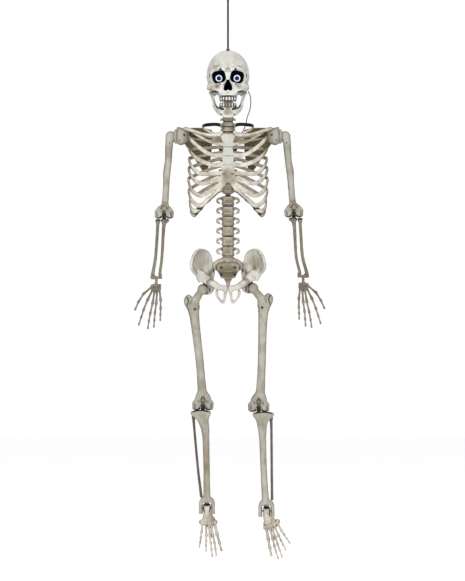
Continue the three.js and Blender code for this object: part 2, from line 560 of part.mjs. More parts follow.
// ---------- arm ----------
function arm(side) {
  const { out, name, elbow, humerus, wrist } = side;
  const centre = [SHOULDER.x * out, SHOULDER.y, SHOULDER.z];
  const hubReach = [SHOULDER.x - SHOULDER.hubFrom, SHOULDER.x - SHOULDER.hubTo]
    .map((d) => -d * out)
    .sort((a, b) => a - b);
  const ballRoom = ball(centre, SHOULDER.ball + BALL_RUN, 12, 7);
  const hub = cut(axle(centre, hubReach[0], hubReach[1], SHOULDER.hubRadius), ballRoom);
  piece(`${name}_shoulder_hub`, hub, 0x8f8870);

  const shaft = join(
    ball(centre, SHOULDER.ball, 12, 7),
    tube(humerus, 10, 6, 6),
    rod(add(elbow, [0, 0, 46]), add(elbow, [0, 0, 15]), 9, 10, 6),
    ellipsoid(add(elbow, [0, 1, 12]), [25, 8, 18], 8, 5),
  );
  piece(`${name}_humerus`, condyleEnd(shaft, ELBOW, elbow), 0xbdb8aa);
  hingePin(`${name}_elbow_pin`, ELBOW, elbow);

  const at = (outward, y, down) => [elbow[0] + outward * out, elbow[1] + y, elbow[2] - down];
  const drop = elbow[2] - wrist[2];
  const plateAt = [wrist[0], wrist[1], wrist[2]];
  const wristOut = (wrist[0] - elbow[0]) * out;
  const ends = [at(-15, 0, 0)[0], at(11, 0, 0)[0]].sort((a, b) => a - b);
  const ulna = join(
    shelfWithTongue(ELBOW, elbow, ends[0], ends[1], { bend: 7, other: 10 }),
    tube([
      at(2, 0, 22), at(3, 2, 60), at(7, 2, 130), at(wristOut - 12, -3, drop - WRIST.plateTop - 1.6),
    ], 5.5, 6, 5),
  );
  piece(`${name}_ulna`, ulna, 0xb7b1a2);
  const plate = cut(
    solid(new THREE.CylinderGeometry(1, 1, WRIST.plateTop, 14).rotateX(Math.PI / 2).scale(18, 10, 1)
      .translate(plateAt[0], plateAt[1], plateAt[2] + WRIST.plateTop / 2)),
    rod(add(wrist, [0, 0, -5]), add(wrist, [0, 0, 20]), WRIST.peg + RUN, WRIST.peg + RUN, 10),
  );
  const head = cut(
    block(
      [Math.min(at(11.6, 0, 0)[0], at(26, 0, 0)[0]), elbow[1] - 7, elbow[2] - ELBOW.shelf],
      [Math.max(at(11.6, 0, 0)[0], at(26, 0, 0)[0]), elbow[1] + 8, elbow[2] - 6],
    ),
    axle(elbow, -80, 80, ELBOW.condyle + 0.9, 12),
  );
  const radius = join(
    plate,
    head,
    tube([at(19, 0, 20), at(20, -3, 60), at(26, -5, 130), at(wristOut + 11.5, -2, drop - 4)], 5.6, 6, 5),
  );
  piece(`${name}_radius`, radius, 0xbab4a6);

  const from = (outward, y, down) => [wrist[0] + outward * out, wrist[1] + y, wrist[2] - down];
  let hand = join(
    rod(from(0, 0, -WRIST.plateTop + 1), from(0, 0, 20), WRIST.peg, WRIST.peg, 10),
    ellipsoid(from(1, 0, 25), [18, 8, 11], 8, 4),
  );
  const fingers = [
    [[10, -2, 20], [38, -8, 44], [53, -12, 68], [63, -14, 91]],
    [[9, 0, 28], [26, -4, 62], [38, -8, 92], [52, -12, 136]],
    [[4, 0, 30], [11, -5, 72], [18, -9, 107], [25, -14, 147]],
    [[-3, 0, 30], [0, -4, 72], [4, -9, 107], [7, -14, 143]],
    [[-9, 0, 26], [-13, -3, 62], [-13, -7, 92], [-12, -12, 123]],
  ];
  for (const finger of fingers) hand = join(hand, tube(finger.map((p) => from(...p)), 3.4, 4, 4));
  piece(`${name}_hand`, hand, 0xb5ae9e);
}

// ---------- leg ----------
function leg(side) {
  const { out, name, hip, trochanter, femur, knee, plateau, tibia, fibula, ankle, footTurn } = side;
  const hubReach = [HIP_HUB.from, HIP_HUB.to].map((d) => -d * out).sort((a, b) => a - b);
  const ballRoom = ball(hip, HIP_BALL + BALL_RUN, 12, 7);
  const hub = cut(axle(hip, hubReach[0], hubReach[1], HIP_HUB.radius), ballRoom);
  piece(`${name}_hip_hub`, hub, 0x8f8870);

  const shaft = join(
    ball(hip, HIP_BALL, 12, 7),
    rod(add(hip, [6 * out, 0, -6]), add(trochanter, [-6 * out, -2, 2]), 9, 13, 8),
    ellipsoid(trochanter, [13.5, 15, 17], 7, 5),
    tube(femur, 12.5, 6, 6),
    ellipsoid(add(knee, [0, -2, 16]), [30, 12, 26], 8, 5),
  );
  piece(`${name}_femur`, condyleEnd(shaft, KNEE, knee), 0xbcb7a8);
  hingePin(`${name}_knee_pin`, KNEE, knee);

  const fibulaTopX = fibula[0][0];
  const shelfEnds = [...plateau];
  if (out < 0) shelfEnds[0] = fibulaTopX + 7;
  else shelfEnds[1] = fibulaTopX - 7;
  const [ax, ay, az] = ankle;
  const fork = cut(
    join(
      ellipsoid([ax, ay, az + 18], [ANKLE.fork, 12, 18], 10, 6),
      block([ax - ANKLE.fork, ay - 9, az - ANKLE.drop], [ax + ANKLE.fork, ay + 9, az + 16]),
    ),
    block([ax - ANKLE.half - RUN, ay - 30, az - 30], [ax + ANKLE.half + RUN, ay + 30, az + ANKLE.crown]),
    axle(ankle, -40, 40, holeFor(ANKLE.pin), 6),
  );
  const shin = join(
    shelfWithTongue(KNEE, knee, shelfEnds[0], shelfEnds[1], { bend: 8, other: 13 }),
    rod(add(tibia[0], [0, 0, 6]), tibia[1], 17, 10, 8),
    tube(tibia, 10, 6, 5),
    fork,
  );
  const fibulaBone = join(tube(fibula, 4.4, 5, 5), ellipsoid(add(fibula[0], [0, 0, 2]), [6, 7, 7], 8, 5));
  const keepOut = tube(fibula, 4.4 + GAP * 2, 5, 5);
  const fibulaRoom = ellipsoid(add(fibula[0], [0, 0, 2]), [6.6, 7.6, 7.6], 8, 5);
  piece(`${name}_tibia`, cut(shin, keepOut, fibulaRoom), 0xb9b3a4);
  piece(`${name}_fibula`, fibulaBone, 0x9f967f);
  const pin = axle(ankle, -ANKLE.fork + 1, ANKLE.fork - 1, ANKLE.pin, 6);
  piece(`${name}_ankle_pin`, pin, 0x77777a, 0.4, 0.8);

  const turn = (footTurn * Math.PI) / 180;
  const inward = -out;
  const from = (x, y, down) => {
    const across = x * inward;
    const aside = across * Math.cos(turn) + down * Math.sin(turn);
    const lift = across * Math.sin(turn) - down * Math.cos(turn);
    return [ax + aside, ay + y, az + lift];
  };
  let foot = join(
    axle(ankle, -ANKLE.half + 0.1, ANKLE.half - 0.1, ANKLE.talus),
    rod(ankle, add(ankle, [0, -8, -34]), 8.5, 9.5, 8),
    ellipsoid(from(0, -11, 42), [26, 12, 19], 8, 5),
    ellipsoid(add(ankle, [0, 24, -13]), [10.5, 19, 12], 8, 5),
    rod(add(ankle, [0, 4, -4]), add(ankle, [0, 22, -12]), 8.5, 8.5, 8),
  );
  const toes = [
    [[14, -12, 48], [20, -26, 82], [26, -38, 112], [30, -48, 136], 5],
    [[7, -14, 50], [9, -28, 84], [12, -40, 114], [12.5, -50, 142], 3.8],
    [[0, -14, 50], [0, -28, 84], [0, -40, 114], [0, -50, 142], 3.8],
    [[-8, -13, 48], [-11, -26, 80], [-14, -36, 104], [-17, -45, 126], 3.8],
    [[-16, -10, 44], [-23, -21, 70], [-29, -31, 92], [-35, -39, 111], 3.8],
  ];
  for (const toe of toes) {
    const points = toe.slice(0, 4).map((p) => from(...p));
    foot = join(foot, tube(points, toe[4], 4, 4));
  }
  piece(`${name}_foot`, cut(foot, axle(ankle, -40, 40, holeFor(ANKLE.pin), 6)), 0xb5ae9e);
}

hangingGear();
head();
jaw();
neck();
ribCage();
supply();
wires();
lumbar();
sacrum();
for (const side of SIDES) {
  shoulderGirdle(side);
  hipBone(side);
  arm(side);
  leg(side);
}

export default group;
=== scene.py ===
"""Hanging skeleton figure: bones sculpted as distance fields around the CAD joints, in millimetres."""
import json
import math

import bmesh
import bpy
import numpy as np
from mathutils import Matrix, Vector


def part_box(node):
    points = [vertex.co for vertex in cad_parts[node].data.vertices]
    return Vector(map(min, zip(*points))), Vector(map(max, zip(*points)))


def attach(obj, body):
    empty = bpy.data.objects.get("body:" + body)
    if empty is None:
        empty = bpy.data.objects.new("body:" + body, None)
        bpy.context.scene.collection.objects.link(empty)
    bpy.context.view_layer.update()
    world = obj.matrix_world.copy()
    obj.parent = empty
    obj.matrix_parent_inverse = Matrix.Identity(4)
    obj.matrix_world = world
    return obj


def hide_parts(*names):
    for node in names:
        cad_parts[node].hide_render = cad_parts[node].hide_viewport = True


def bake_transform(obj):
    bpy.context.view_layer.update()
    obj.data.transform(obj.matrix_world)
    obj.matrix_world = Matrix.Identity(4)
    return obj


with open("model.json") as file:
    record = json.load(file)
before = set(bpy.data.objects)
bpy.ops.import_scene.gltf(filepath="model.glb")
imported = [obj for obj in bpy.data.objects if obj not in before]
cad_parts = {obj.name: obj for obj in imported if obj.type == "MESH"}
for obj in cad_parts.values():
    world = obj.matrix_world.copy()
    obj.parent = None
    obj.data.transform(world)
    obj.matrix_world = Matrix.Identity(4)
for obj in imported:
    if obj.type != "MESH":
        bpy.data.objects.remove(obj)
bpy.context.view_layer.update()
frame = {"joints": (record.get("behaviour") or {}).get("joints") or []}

METRE = 1000.0
MM = 0.001
JOINT = {j["name"]: np.array(j["pos_m"]) * METRE for j in frame["joints"] if "pos_m" in j}
GAP = 0.3  # clearance left between pieces that meet
FAR = 40.0  # distance given to empty clay
REACH = 7.0  # how far from a surface the field stays true
UP = (0, 0, 1)
SIDES = (("right", -1), ("left", 1))
PROBE = 0.7  # grid cells to each side where a field's slope is measured
SMALLEST_PART = 80  # vertices; a smaller loose bit is dropped
PULLS, PULL_LIMIT = 2, 0.45  # steps that pull the net onto the surface, and their most in cells per axis
NARROW, BROAD, THIN = 1.8, 5.0, 1.6  # millimetres looked out for hollows, and in for thin edges
STAIN_CORE = 1.6  # steepness of a stain's edge; above 1 its middle is at full strength


# ---------- camera ----------
VIEW_HEIGHT = 1.738
VIEW_CENTRE = (0.0135, -0.887)
VIEW_DISTANCE = 13.0
SENSOR = 36.0


def make_camera():
    data = bpy.data.cameras.new("camera")
    data.sensor_fit = "VERTICAL"
    data.sensor_height = SENSOR
    data.lens = SENSOR * VIEW_DISTANCE / VIEW_HEIGHT
    camera = bpy.data.objects.new("camera", data)
    camera.location = (VIEW_CENTRE[0], -VIEW_DISTANCE, VIEW_CENTRE[1])
    camera.rotation_euler = (math.pi / 2, 0, 0)
    bpy.context.scene.collection.objects.link(camera)
    bpy.context.scene.camera = camera


# ---------- small vector helpers ----------
def vec(*values):
    return np.array(values, float)


def unit(v):
    v = np.array(v, float)
    return v / np.linalg.norm(v)


def outward(point, out):
    """The same point on the right (out = -1) or left side."""
    return vec(point[0] * out, point[1], point[2])


def mirrored(points, out):
    """The same points on the right (out = -1) or left side."""
    return [outward(p, out) for p in points]


def spline(rows, per):
    """Catmull-Rom rows through the given rows, any number of columns."""
    rows = np.array(rows, float)
    ends = np.vstack([2 * rows[0] - rows[1], rows, 2 * rows[-1] - rows[-2]])
    out = []
    for i in range(len(rows) - 1):
        a, b, c, d = ends[i:i + 4]
        for t in np.arange(per) / per:
            out.append(
                0.5 * (2 * b + (c - a) * t + (2 * a - 5 * b + 4 * c - d) * t**2
                       + (3 * b - a - 3 * c + d) * t**3)
            )
    out.append(rows[-1])
    return np.array(out)


# ---------- distance shapes: each is (low corner, high corner, distance function) ----------
def capsule(a, b, start, end=None, wide=None, ratio=1.0):
    """A tapered round rod. With wide, its section is ratio times as broad along that direction."""
    a, b = np.array(a, float), np.array(b, float)
    end = start if end is None else end
    axis = b - a
    square = max(float(axis @ axis), 1e-9)
    across = None
    if wide is not None:
        across = np.array(wide, float) - axis * (np.dot(wide, axis) / square)
        across = unit(across) if np.linalg.norm(across) > 1e-3 else unit(wide)
    reach = max(start, end) * max(ratio, 1.0)

    def distance(x, y, z):
        x, y, z = x - a[0], y - a[1], z - a[2]
        t = np.clip((x * axis[0] + y * axis[1] + z * axis[2]) / square, 0, 1)
        x, y, z = x - t * axis[0], y - t * axis[1], z - t * axis[2]
        if across is not None:
            share = (x * across[0] + y * across[1] + z * across[2]) * (1 - 1 / ratio)
            x, y, z = x - share * across[0], y - share * across[1], z - share * across[2]
        return np.sqrt(x * x + y * y + z * z) - (start + (end - start) * t)

    return np.minimum(a, b) - reach, np.maximum(a, b) + reach, distance


def blob(centre, radii, tilt=0.0):
    """An ellipsoid, turned by tilt degrees about Y."""
    c, r = np.array(centre, float), np.array(radii, float) * np.ones(3)
    cos, sin = math.cos(math.radians(tilt)), math.sin(math.radians(tilt))
    reach = r if not tilt else vec(max(r[0], r[2]), r[1], max(r[0], r[2]))

    def distance(x, y, z):
        x, y, z = x - c[0], y - c[1], z - c[2]
        x, z = x * cos + z * sin, z * cos - x * sin
        x, y, z = x / r[0], y / r[1], z / r[2]
        near = np.sqrt(x * x + y * y + z * z)
        slope = np.sqrt((x / r[0]) ** 2 + (y / r[1]) ** 2 + (z / r[2]) ** 2)
        return near * (near - 1) / np.maximum(slope, 1e-4)

    return c - reach, c + reach, distance


def revolved(centre, profile, axis=0):
    """A turned shape about an axis through centre, from (place along the axis, radius) pairs."""
    c = np.array(centre, float)
    places, radii = np.array(profile, float).T
    reach = np.full(3, radii.max())
    low, high = c - reach, c + reach
    low[axis], high[axis] = c[axis] + places[0], c[axis] + places[-1]
    others = [i for i in range(3) if i != axis]

    def distance(*point):
        along = point[axis] - c[axis]
        p, q = (point[i] - c[i] for i in others)
        side = np.sqrt(p * p + q * q) - np.interp(along, places, radii)
        ends = np.maximum(places[0] - along, along - places[-1])
        return np.maximum(side, ends)

    return low, high, distance


def drum(centre, low, high, radius, axis=0):
    """A plain disc or rod along an axis."""
    return revolved(centre, [(low, radius), (high, radius)], axis)


def brick(low, high, round_by):
    """A box with rounded edges."""
    low, high = np.array(low, float), np.array(high, float)
    low, high = np.minimum(low, high), np.maximum(low, high)
    middle, half = (low + high) / 2, (high - low) / 2 - round_by

    def distance(x, y, z):
        x, y, z = x - middle[0], y - middle[1], z - middle[2]
        x, y, z = abs(x) - half[0], abs(y) - half[1], abs(z) - half[2]
        inside = np.minimum(np.maximum(x, np.maximum(y, z)), 0)
        x, y, z = np.maximum(x, 0), np.maximum(y, 0), np.maximum(z, 0)
        return inside + np.sqrt(x * x + y * y + z * z) - round_by

    return low, high, distance


def polygon_distance(u, v, outline):
    """The signed distance from (u, v) to a closed outline, negative inside."""
    nearest = None
    inside = None
    for (ax, ay), (bx, by) in zip(outline, outline[1:] + outline[:1]):
        ex, ey = bx - ax, by - ay
        t = np.clip(((u - ax) * ex + (v - ay) * ey) / (ex * ex + ey * ey), 0, 1)
        square = (u - ax - t * ex) ** 2 + (v - ay - t * ey) ** 2
        crosses = (ay > v) != (by > v)
        side = crosses & (u < ax + (v - ay) / (ey if ey else 1e-9) * ex)
        nearest = square if nearest is None else np.minimum(nearest, square)
        inside = side if inside is None else inside ^ side
    return np.where(inside, -1, 1) * np.sqrt(nearest)


def plate(outline, half, origin, u, v, bend=0.0, middle=(0, 0), rim=0.0):
    """A flat outline in the (u, v) plane with a soft edge. bend curves it, rim thickens its border."""
    o, u, v = np.array(origin, float), unit(u), unit(v)
    w = np.cross(u, v)
    corners = np.array([o + p * u + q * v for p, q in outline])
    reach = half + rim + 3 + abs(bend) * 4000

    def distance(x, y, z):
        x, y, z = x - o[0], y - o[1], z - o[2]
        p = x * u[0] + y * u[1] + z * u[2]
        q = x * v[0] + y * v[1] + z * v[2]
        d = x * w[0] + y * w[1] + z * w[2]
        d = d - bend * ((p - middle[0]) ** 2 + (q - middle[1]) ** 2)
        edge = polygon_distance(p, q, outline) + half
        thick = half + rim * np.exp(-((edge + 2) / 4) ** 2)
        flat = abs(d) - (thick - half)
        return np.sqrt(np.maximum(edge, 0) ** 2 + np.maximum(flat, 0) ** 2) + np.minimum(
            np.maximum(edge, flat), 0) - half

    return corners.min(0) - reach, corners.max(0) + reach, distance


def half_space(axis, place, keep_below, low, high):
    """Everything beyond a plane, for cutting a body at a seam."""
    sign = 1 if keep_below else -1

    def distance(*point):
        d = -sign * (point[axis] - place)
        return d + 0 * (point[0] + point[1] + point[2])

    return np.array(low, float), np.array(high, float), distance


def soft_min(a, b, blend):
    """The smaller of two fields, rounded where they cross."""
    if blend <= 0:
        return np.minimum(a, b)
    h = np.maximum(blend - abs(a - b), 0) / blend
    return np.minimum(a, b) - h * h * blend / 4


class Clay:
    """A distance field on a regular grid, negative inside."""

    def __init__(self, low, high, step):
        self.step = step
        self.low = np.array(low, float)
        self.high = np.array(high, float)
        counts = np.ceil((self.high - self.low) / step).astype(int) + 1
        self.axes = [(self.low[i] + step * np.arange(counts[i])).astype(np.float32) for i in range(3)]
        self.field = np.full(counts, FAR, np.float32)
        self.stains = []

    def window(self, low, high, margin):
        """The grid slices that a box with a margin covers."""
        cuts = []
        for i in range(3):
            first = int((low[i] - margin - self.low[i]) // self.step)
            last = int((high[i] + margin - self.low[i]) // self.step) + 2
            size = len(self.axes[i])
            first = min(max(first, 0), size)
            cuts.append(slice(first, min(max(last, first), size)))
        return tuple(cuts)

    def measure(self, window, distance):
        x, y, z = (self.axes[i][window[i]] for i in range(3))
        return distance(x[:, None, None], y[None, :, None], z[None, None, :])

    def merge(self, window, other, blend, carve):
        old = self.field[window]
        if carve:
            self.field[window] = -soft_min(-old, other, blend)
        else:
            self.field[window] = soft_min(old, other, blend)

    def add(self, shape, blend, carve=False):
        """Joins a shape to the clay, or takes it away when carve is set."""
        low, high, distance = shape
        window = self.window(low, high, REACH + blend)
        if all(w.stop > w.start for w in window):
            self.merge(window, self.measure(window, distance), blend, carve)

    def cut(self, shape, blend):
        self.add(shape, blend, carve=True)

    def path(self, points, radii, blend, wide=None, ratio=1.0, per=5, carve=False):
        """A smooth rod along the points, joined as one shape."""
        points = np.array(points, float)
        radii = np.array(radii, float) * np.ones(len(points))
        rows = spline(np.column_stack([points, radii]), per)
        parts = [capsule(a[:3], b[:3], a[3], b[3], wide, ratio) for a, b in zip(rows[:-1], rows[1:])]
        low = np.min([p[0] for p in parts], 0)
        high = np.max([p[1] for p in parts], 0)
        whole = self.window(low, high, REACH + blend)
        if not all(w.stop > w.start for w in whole):
            return
        field = np.full([w.stop - w.start for w in whole], FAR, np.float32)
        for part in parts:
            window = self.window(part[0], part[1], REACH + blend)
            if all(w.stop > w.start for w in window):
                local = tuple(slice(w.start - b.start, w.stop - b.start) for w, b in zip(window, whole))
                field[local] = np.minimum(field[local], self.measure(window, part[2]))
        self.merge(whole, field, blend, carve)

    def trim(self, axis, place, keep_below):
        self.cut(half_space(axis, place, keep_below, self.low, self.high), 0)

    def stain(self, centre, radius, amount, kind="stain"):
        """A soft spot of colour on the surface near the centre."""
        self.stains.append((kind, [np.array(centre, float)], radius, amount))

    def paint_shade_along(self, points, radius, amount, per=6):
        """A soft line of painted shade, kept in the dark layer."""
        self.stains.append(("dark", spline(points, per), radius, amount))


# ---------- from a field to a mesh ----------
CORNERS = np.array([[(i >> b) & 1 for b in range(3)] for i in range(8)])
EDGES = [(a, a | bit) for a in range(8) for bit in (1, 2, 4) if not a & bit]


def sample(field, points):
    """The field at fractional grid places."""
    top = np.array(field.shape) - 2
    base = np.clip(np.floor(points).astype(int), 0, top)
    t = points - base
    total = 0
    for corner in CORNERS:
        weight = np.prod(np.where(corner, t, 1 - t), axis=1)
        at = base + corner
        total = total + weight * field[at[:, 0], at[:, 1], at[:, 2]]
    return total


def slope(field, points):
    """How fast the field rises along each grid axis."""
    steps = np.eye(3) * PROBE
    rises = [sample(field, points + e) - sample(field, points - e) for e in steps]
    return np.stack(rises, 1) / (2 * PROBE)


def surface_net(field):
    """Points in every cell that the surface crosses, and the quads that join them."""
    inside = field < 0
    count = sum(
        inside[
            i:i + field.shape[0] - 1, j:j + field.shape[1] - 1, k:k + field.shape[2] - 1,
        ].astype(np.uint8)
        for i, j, k in CORNERS
    )
    active = (count > 0) & (count < 8)
    cells = np.argwhere(active)
    index = np.full(active.shape, -1, np.int64)
    index[active] = np.arange(len(cells))
    values = np.stack([field[tuple((cells + c).T)] for c in CORNERS], 1)
    total = np.zeros((len(cells), 3))
    number = np.zeros(len(cells))
    for a, b in EDGES:
        crossing = (values[:, a] < 0) != (values[:, b] < 0)
        gap = np.where(crossing, values[:, a] - values[:, b], 1)
        t = (values[:, a] / gap)[:, None]
        total += np.where(crossing[:, None], CORNERS[a] + t * (CORNERS[b] - CORNERS[a]), 0)
        number += crossing
    points = cells + total / number[:, None]
    quads = []
    for axis in range(3):
        u, v = (axis + 1) % 3, (axis + 2) % 3
        first, second = [slice(1, -1)] * 3, [slice(1, -1)] * 3
        first[axis], second[axis] = slice(0, -1), slice(1, None)
        near, far = inside[tuple(first)], inside[tuple(second)]
        offset = np.ones(3, int)
        offset[axis] = 0
        eu, ev = np.eye(3, dtype=int)[u], np.eye(3, dtype=int)[v]
        for change, order in ((near & ~far, 1), (far & ~near, -1)):
            p = np.argwhere(change) + offset
            loop = [p - eu - ev, p - ev, p, p - eu][::order]
            quads.append(np.stack([index[tuple(q.T)] for q in loop], 1))
    return points, np.vstack(quads)


def large_parts(count, quads):
    """True for each vertex that isn't in a small loose bit."""
    a = np.concatenate([quads[:, 0], quads[:, 1], quads[:, 2]])
    b = np.concatenate([quads[:, 1], quads[:, 2], quads[:, 3]])
    label = np.arange(count)
    while True:
        low = np.minimum(label[a], label[b])
        new = label.copy()
        np.minimum.at(new, a, low)
        np.minimum.at(new, b, low)
        new = new[new]
        if (new == label).all():
            break
        label = new
    return np.bincount(label, minlength=count)[label] >= SMALLEST_PART


def build_mesh(name, points, faces, attributes):
    """A smooth mesh from points in metres and faces that all have the same number of corners."""
    mesh = bpy.data.meshes.new(name)
    mesh.vertices.add(len(points))
    mesh.vertices.foreach_set("co", np.ascontiguousarray(points, np.float32).ravel())
    mesh.loops.add(faces.size)
    mesh.loops.foreach_set("vertex_index", faces.astype(np.int32).ravel())
    mesh.polygons.add(len(faces))
    mesh.polygons.foreach_set("loop_start", np.arange(0, faces.size, faces.shape[1], dtype=np.int32))
    mesh.polygons.foreach_set("use_smooth", np.ones(len(faces), bool))
    mesh.update(calc_edges=True)
    for key, values in attributes.items():
        layer = mesh.attributes.new(key, "FLOAT", "POINT")
        layer.data.foreach_set("value", np.ascontiguousarray(values, np.float32))
    obj = bpy.data.objects.new(name, mesh)
    bpy.context.scene.collection.objects.link(obj)
    return obj


def roughen(p, amount):
    """A slow, low wobble of the surface, as moulded bone has, in millimetres."""
    x, y, z = p.T
    wave = np.sin(x / 7.1 + np.sin(z / 9.3) * 1.7) * np.sin(z / 11.7 + y / 6.3)
    fine = np.sin(x / 2.3 + y / 3.1) * np.sin(z / 2.9 - y / 2.1 + np.sin(x / 4.7))
    return amount * (0.7 * wave + 0.3 * fine)


def sculpt(clay, name, nodes, body, material, wobble, inner=None):
    """Turns the clay into the piece that stands for these CAD nodes."""
    field = clay.field
    # the grid's outer layer is emptied, so that the net closes
    for axis in range(3):
        edge = [slice(None)] * 3
        for place in (0, -1):
            edge[axis] = place
            field[tuple(edge)] = np.maximum(field[tuple(edge)], 0.5)
    points, quads = surface_net(field)
    keep = large_parts(len(points), quads)
    renumber = np.cumsum(keep) - 1
    quads = renumber[quads[keep[quads[:, 0]]]]
    points = points[keep]
    for _ in range(PULLS):
        grade = slope(field, points)
        square = np.maximum((grade**2).sum(1), 1e-6)
        shift = -(sample(field, points) / square)[:, None] * grade
        points = points + np.clip(shift, -PULL_LIMIT, PULL_LIMIT)
    grade = slope(field, points)
    size = np.linalg.norm(grade, axis=1)
    normal = grade / np.maximum(size, 1e-6)[:, None]
    per_mm = size / clay.step

    def opening(reach):
        seen = sample(field, points + normal * (reach / clay.step))
        return np.clip(seen / (reach * np.maximum(per_mm, 0.3)), 0, 1)

    def backing(reach):
        depth = -sample(field, points - normal * (reach / clay.step))
        return np.clip(depth / (reach * np.maximum(per_mm, 0.3)), 0, 1)

    # How enclosed each point is: it sets the olive wash in the hollows and also the near-black painted
    # shade in deep gaps.
    cavity = 1 - (0.45 * opening(NARROW) + 0.55 * opening(BROAD))
    place = clay.low + points * clay.step
    attributes = {"cavity": cavity, "edge": 1 - backing(THIN)}
    # How far the surface turns sideways from the front; it only sets painted shade on the sides.
    attributes["flank"] = 1 - abs(normal[:, 1])
    # The dark layer is painted shade: lines and spots in gaps, holes, grooves and under edges.
    for kind in ("stain", "rust", "cool", "dark"):
        value = np.zeros(len(place))
        for name_of, centres, radius, amount in clay.stains:
            if name_of == kind:
                for centre in centres:
                    near = 1 - (((place - centre) / radius) ** 2).sum(1)
                    value = np.maximum(value, amount * np.clip(near * STAIN_CORE, 0, 1))
        attributes[kind] = value
    attributes["inner"] = np.zeros(len(place)) if inner is None else inner(place)
    place = place + normal * roughen(place, wobble)[:, None]
    obj = build_mesh(name, place * MM, quads, attributes)
    obj.data.materials.append(material)
    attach(obj, body)
    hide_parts(*nodes)
    return obj


# ---------- materials ----------
def rgb(text):
    """A colour written as RRGGBB, as linear numbers."""
    values = [int(text[i:i + 2], 16) / 255 for i in (0, 2, 4)]
    return tuple(v / 12.92 if v <= 0.04045 else ((v + 0.055) / 1.055) ** 2.4 for v in values) + (1,)


class Nodes:
    """Short calls for building one material's node tree."""

    def __init__(self, name):
        self.material = bpy.data.materials.new(name)
        self.material.use_nodes = True
        self.tree = self.material.node_tree
        self.shader = self.tree.nodes["Principled BSDF"]
        self.place = self.new("ShaderNodeTexCoord").outputs["Object"]

    def new(self, kind, **settings):
        node = self.tree.nodes.new(kind)
        for key, value in settings.items():
            setattr(node, key, value)
        return node

    def link(self, source, socket):
        if isinstance(source, bpy.types.NodeSocket):
            self.tree.links.new(source, socket)
        else:
            socket.default_value = source

    def stretched(self, scale):
        node = self.new("ShaderNodeMapping")
        self.link(self.place, node.inputs["Vector"])
        node.inputs["Scale"].default_value = scale
        return node.outputs["Vector"]

    def noise(self, scale, detail, rough=0.55, place=None, warp=0.0):
        node = self.new("ShaderNodeTexNoise")
        self.link(place or self.place, node.inputs["Vector"])
        node.inputs["Scale"].default_value = scale
        node.inputs["Detail"].default_value = detail
        node.inputs["Roughness"].default_value = rough
        node.inputs["Distortion"].default_value = warp
        return node.outputs["Fac"]

    def attribute(self, name):
        return self.new("ShaderNodeAttribute", attribute_name=name).outputs["Fac"]

    def span(self, value, low, high, to_low=0.0, to_high=1.0):
        node = self.new("ShaderNodeMapRange", interpolation_type="SMOOTHSTEP")
        self.link(value, node.inputs["Value"])
        for key, number in (
            ("From Min", low), ("From Max", high), ("To Min", to_low), ("To Max", to_high),
        ):
            node.inputs[key].default_value = number
        return node.outputs["Result"]

    def math(self, operation, a, b):
        node = self.new("ShaderNodeMath", operation=operation)
        self.link(a, node.inputs[0])
        self.link(b, node.inputs[1])
        return node.outputs[0]

    def mix(self, amount, a, b):
        node = self.new("ShaderNodeMix", data_type="RGBA")
        self.link(amount, node.inputs[0])
        self.link(a, node.inputs[6])
        self.link(b, node.inputs[7])
        return node.outputs[2]

    def bump(self, height, strength, distance, under=None):
        node = self.new("ShaderNodeBump")
        self.link(height, node.inputs["Height"])
        node.inputs["Strength"].default_value = strength
        node.inputs["Distance"].default_value = distance
        if under is not None:
            self.link(under, node.inputs["Normal"])
        return node.outputs["Normal"]

    def finish(self, colour=None, rough=None, normal=None, **sockets):
        for key, value in (("Base Color", colour), ("Roughness", rough), ("Normal", normal)):
            if value is not None:
                self.link(value, self.shader.inputs[key])
        for key, value in sockets.items():
            self.shader.inputs[key.replace("_", " ")].default_value = value
        return self.material


# Olive brown: the real wash in the hollows, dirt streaks and specks, and also the painted shade on the
# flanks.
OLIVE_WASH_AND_SHADE = rgb("5E543F")
# Near black: painted shade in deep gaps, on the most sideways flanks and in the dark layer of painted
# shade lines and spots.
SHADE_BLACK = rgb("0D0906")
STAIN = rgb("6A6048")
RUST = rgb("70463C")
COOL = rgb("A3A49C")


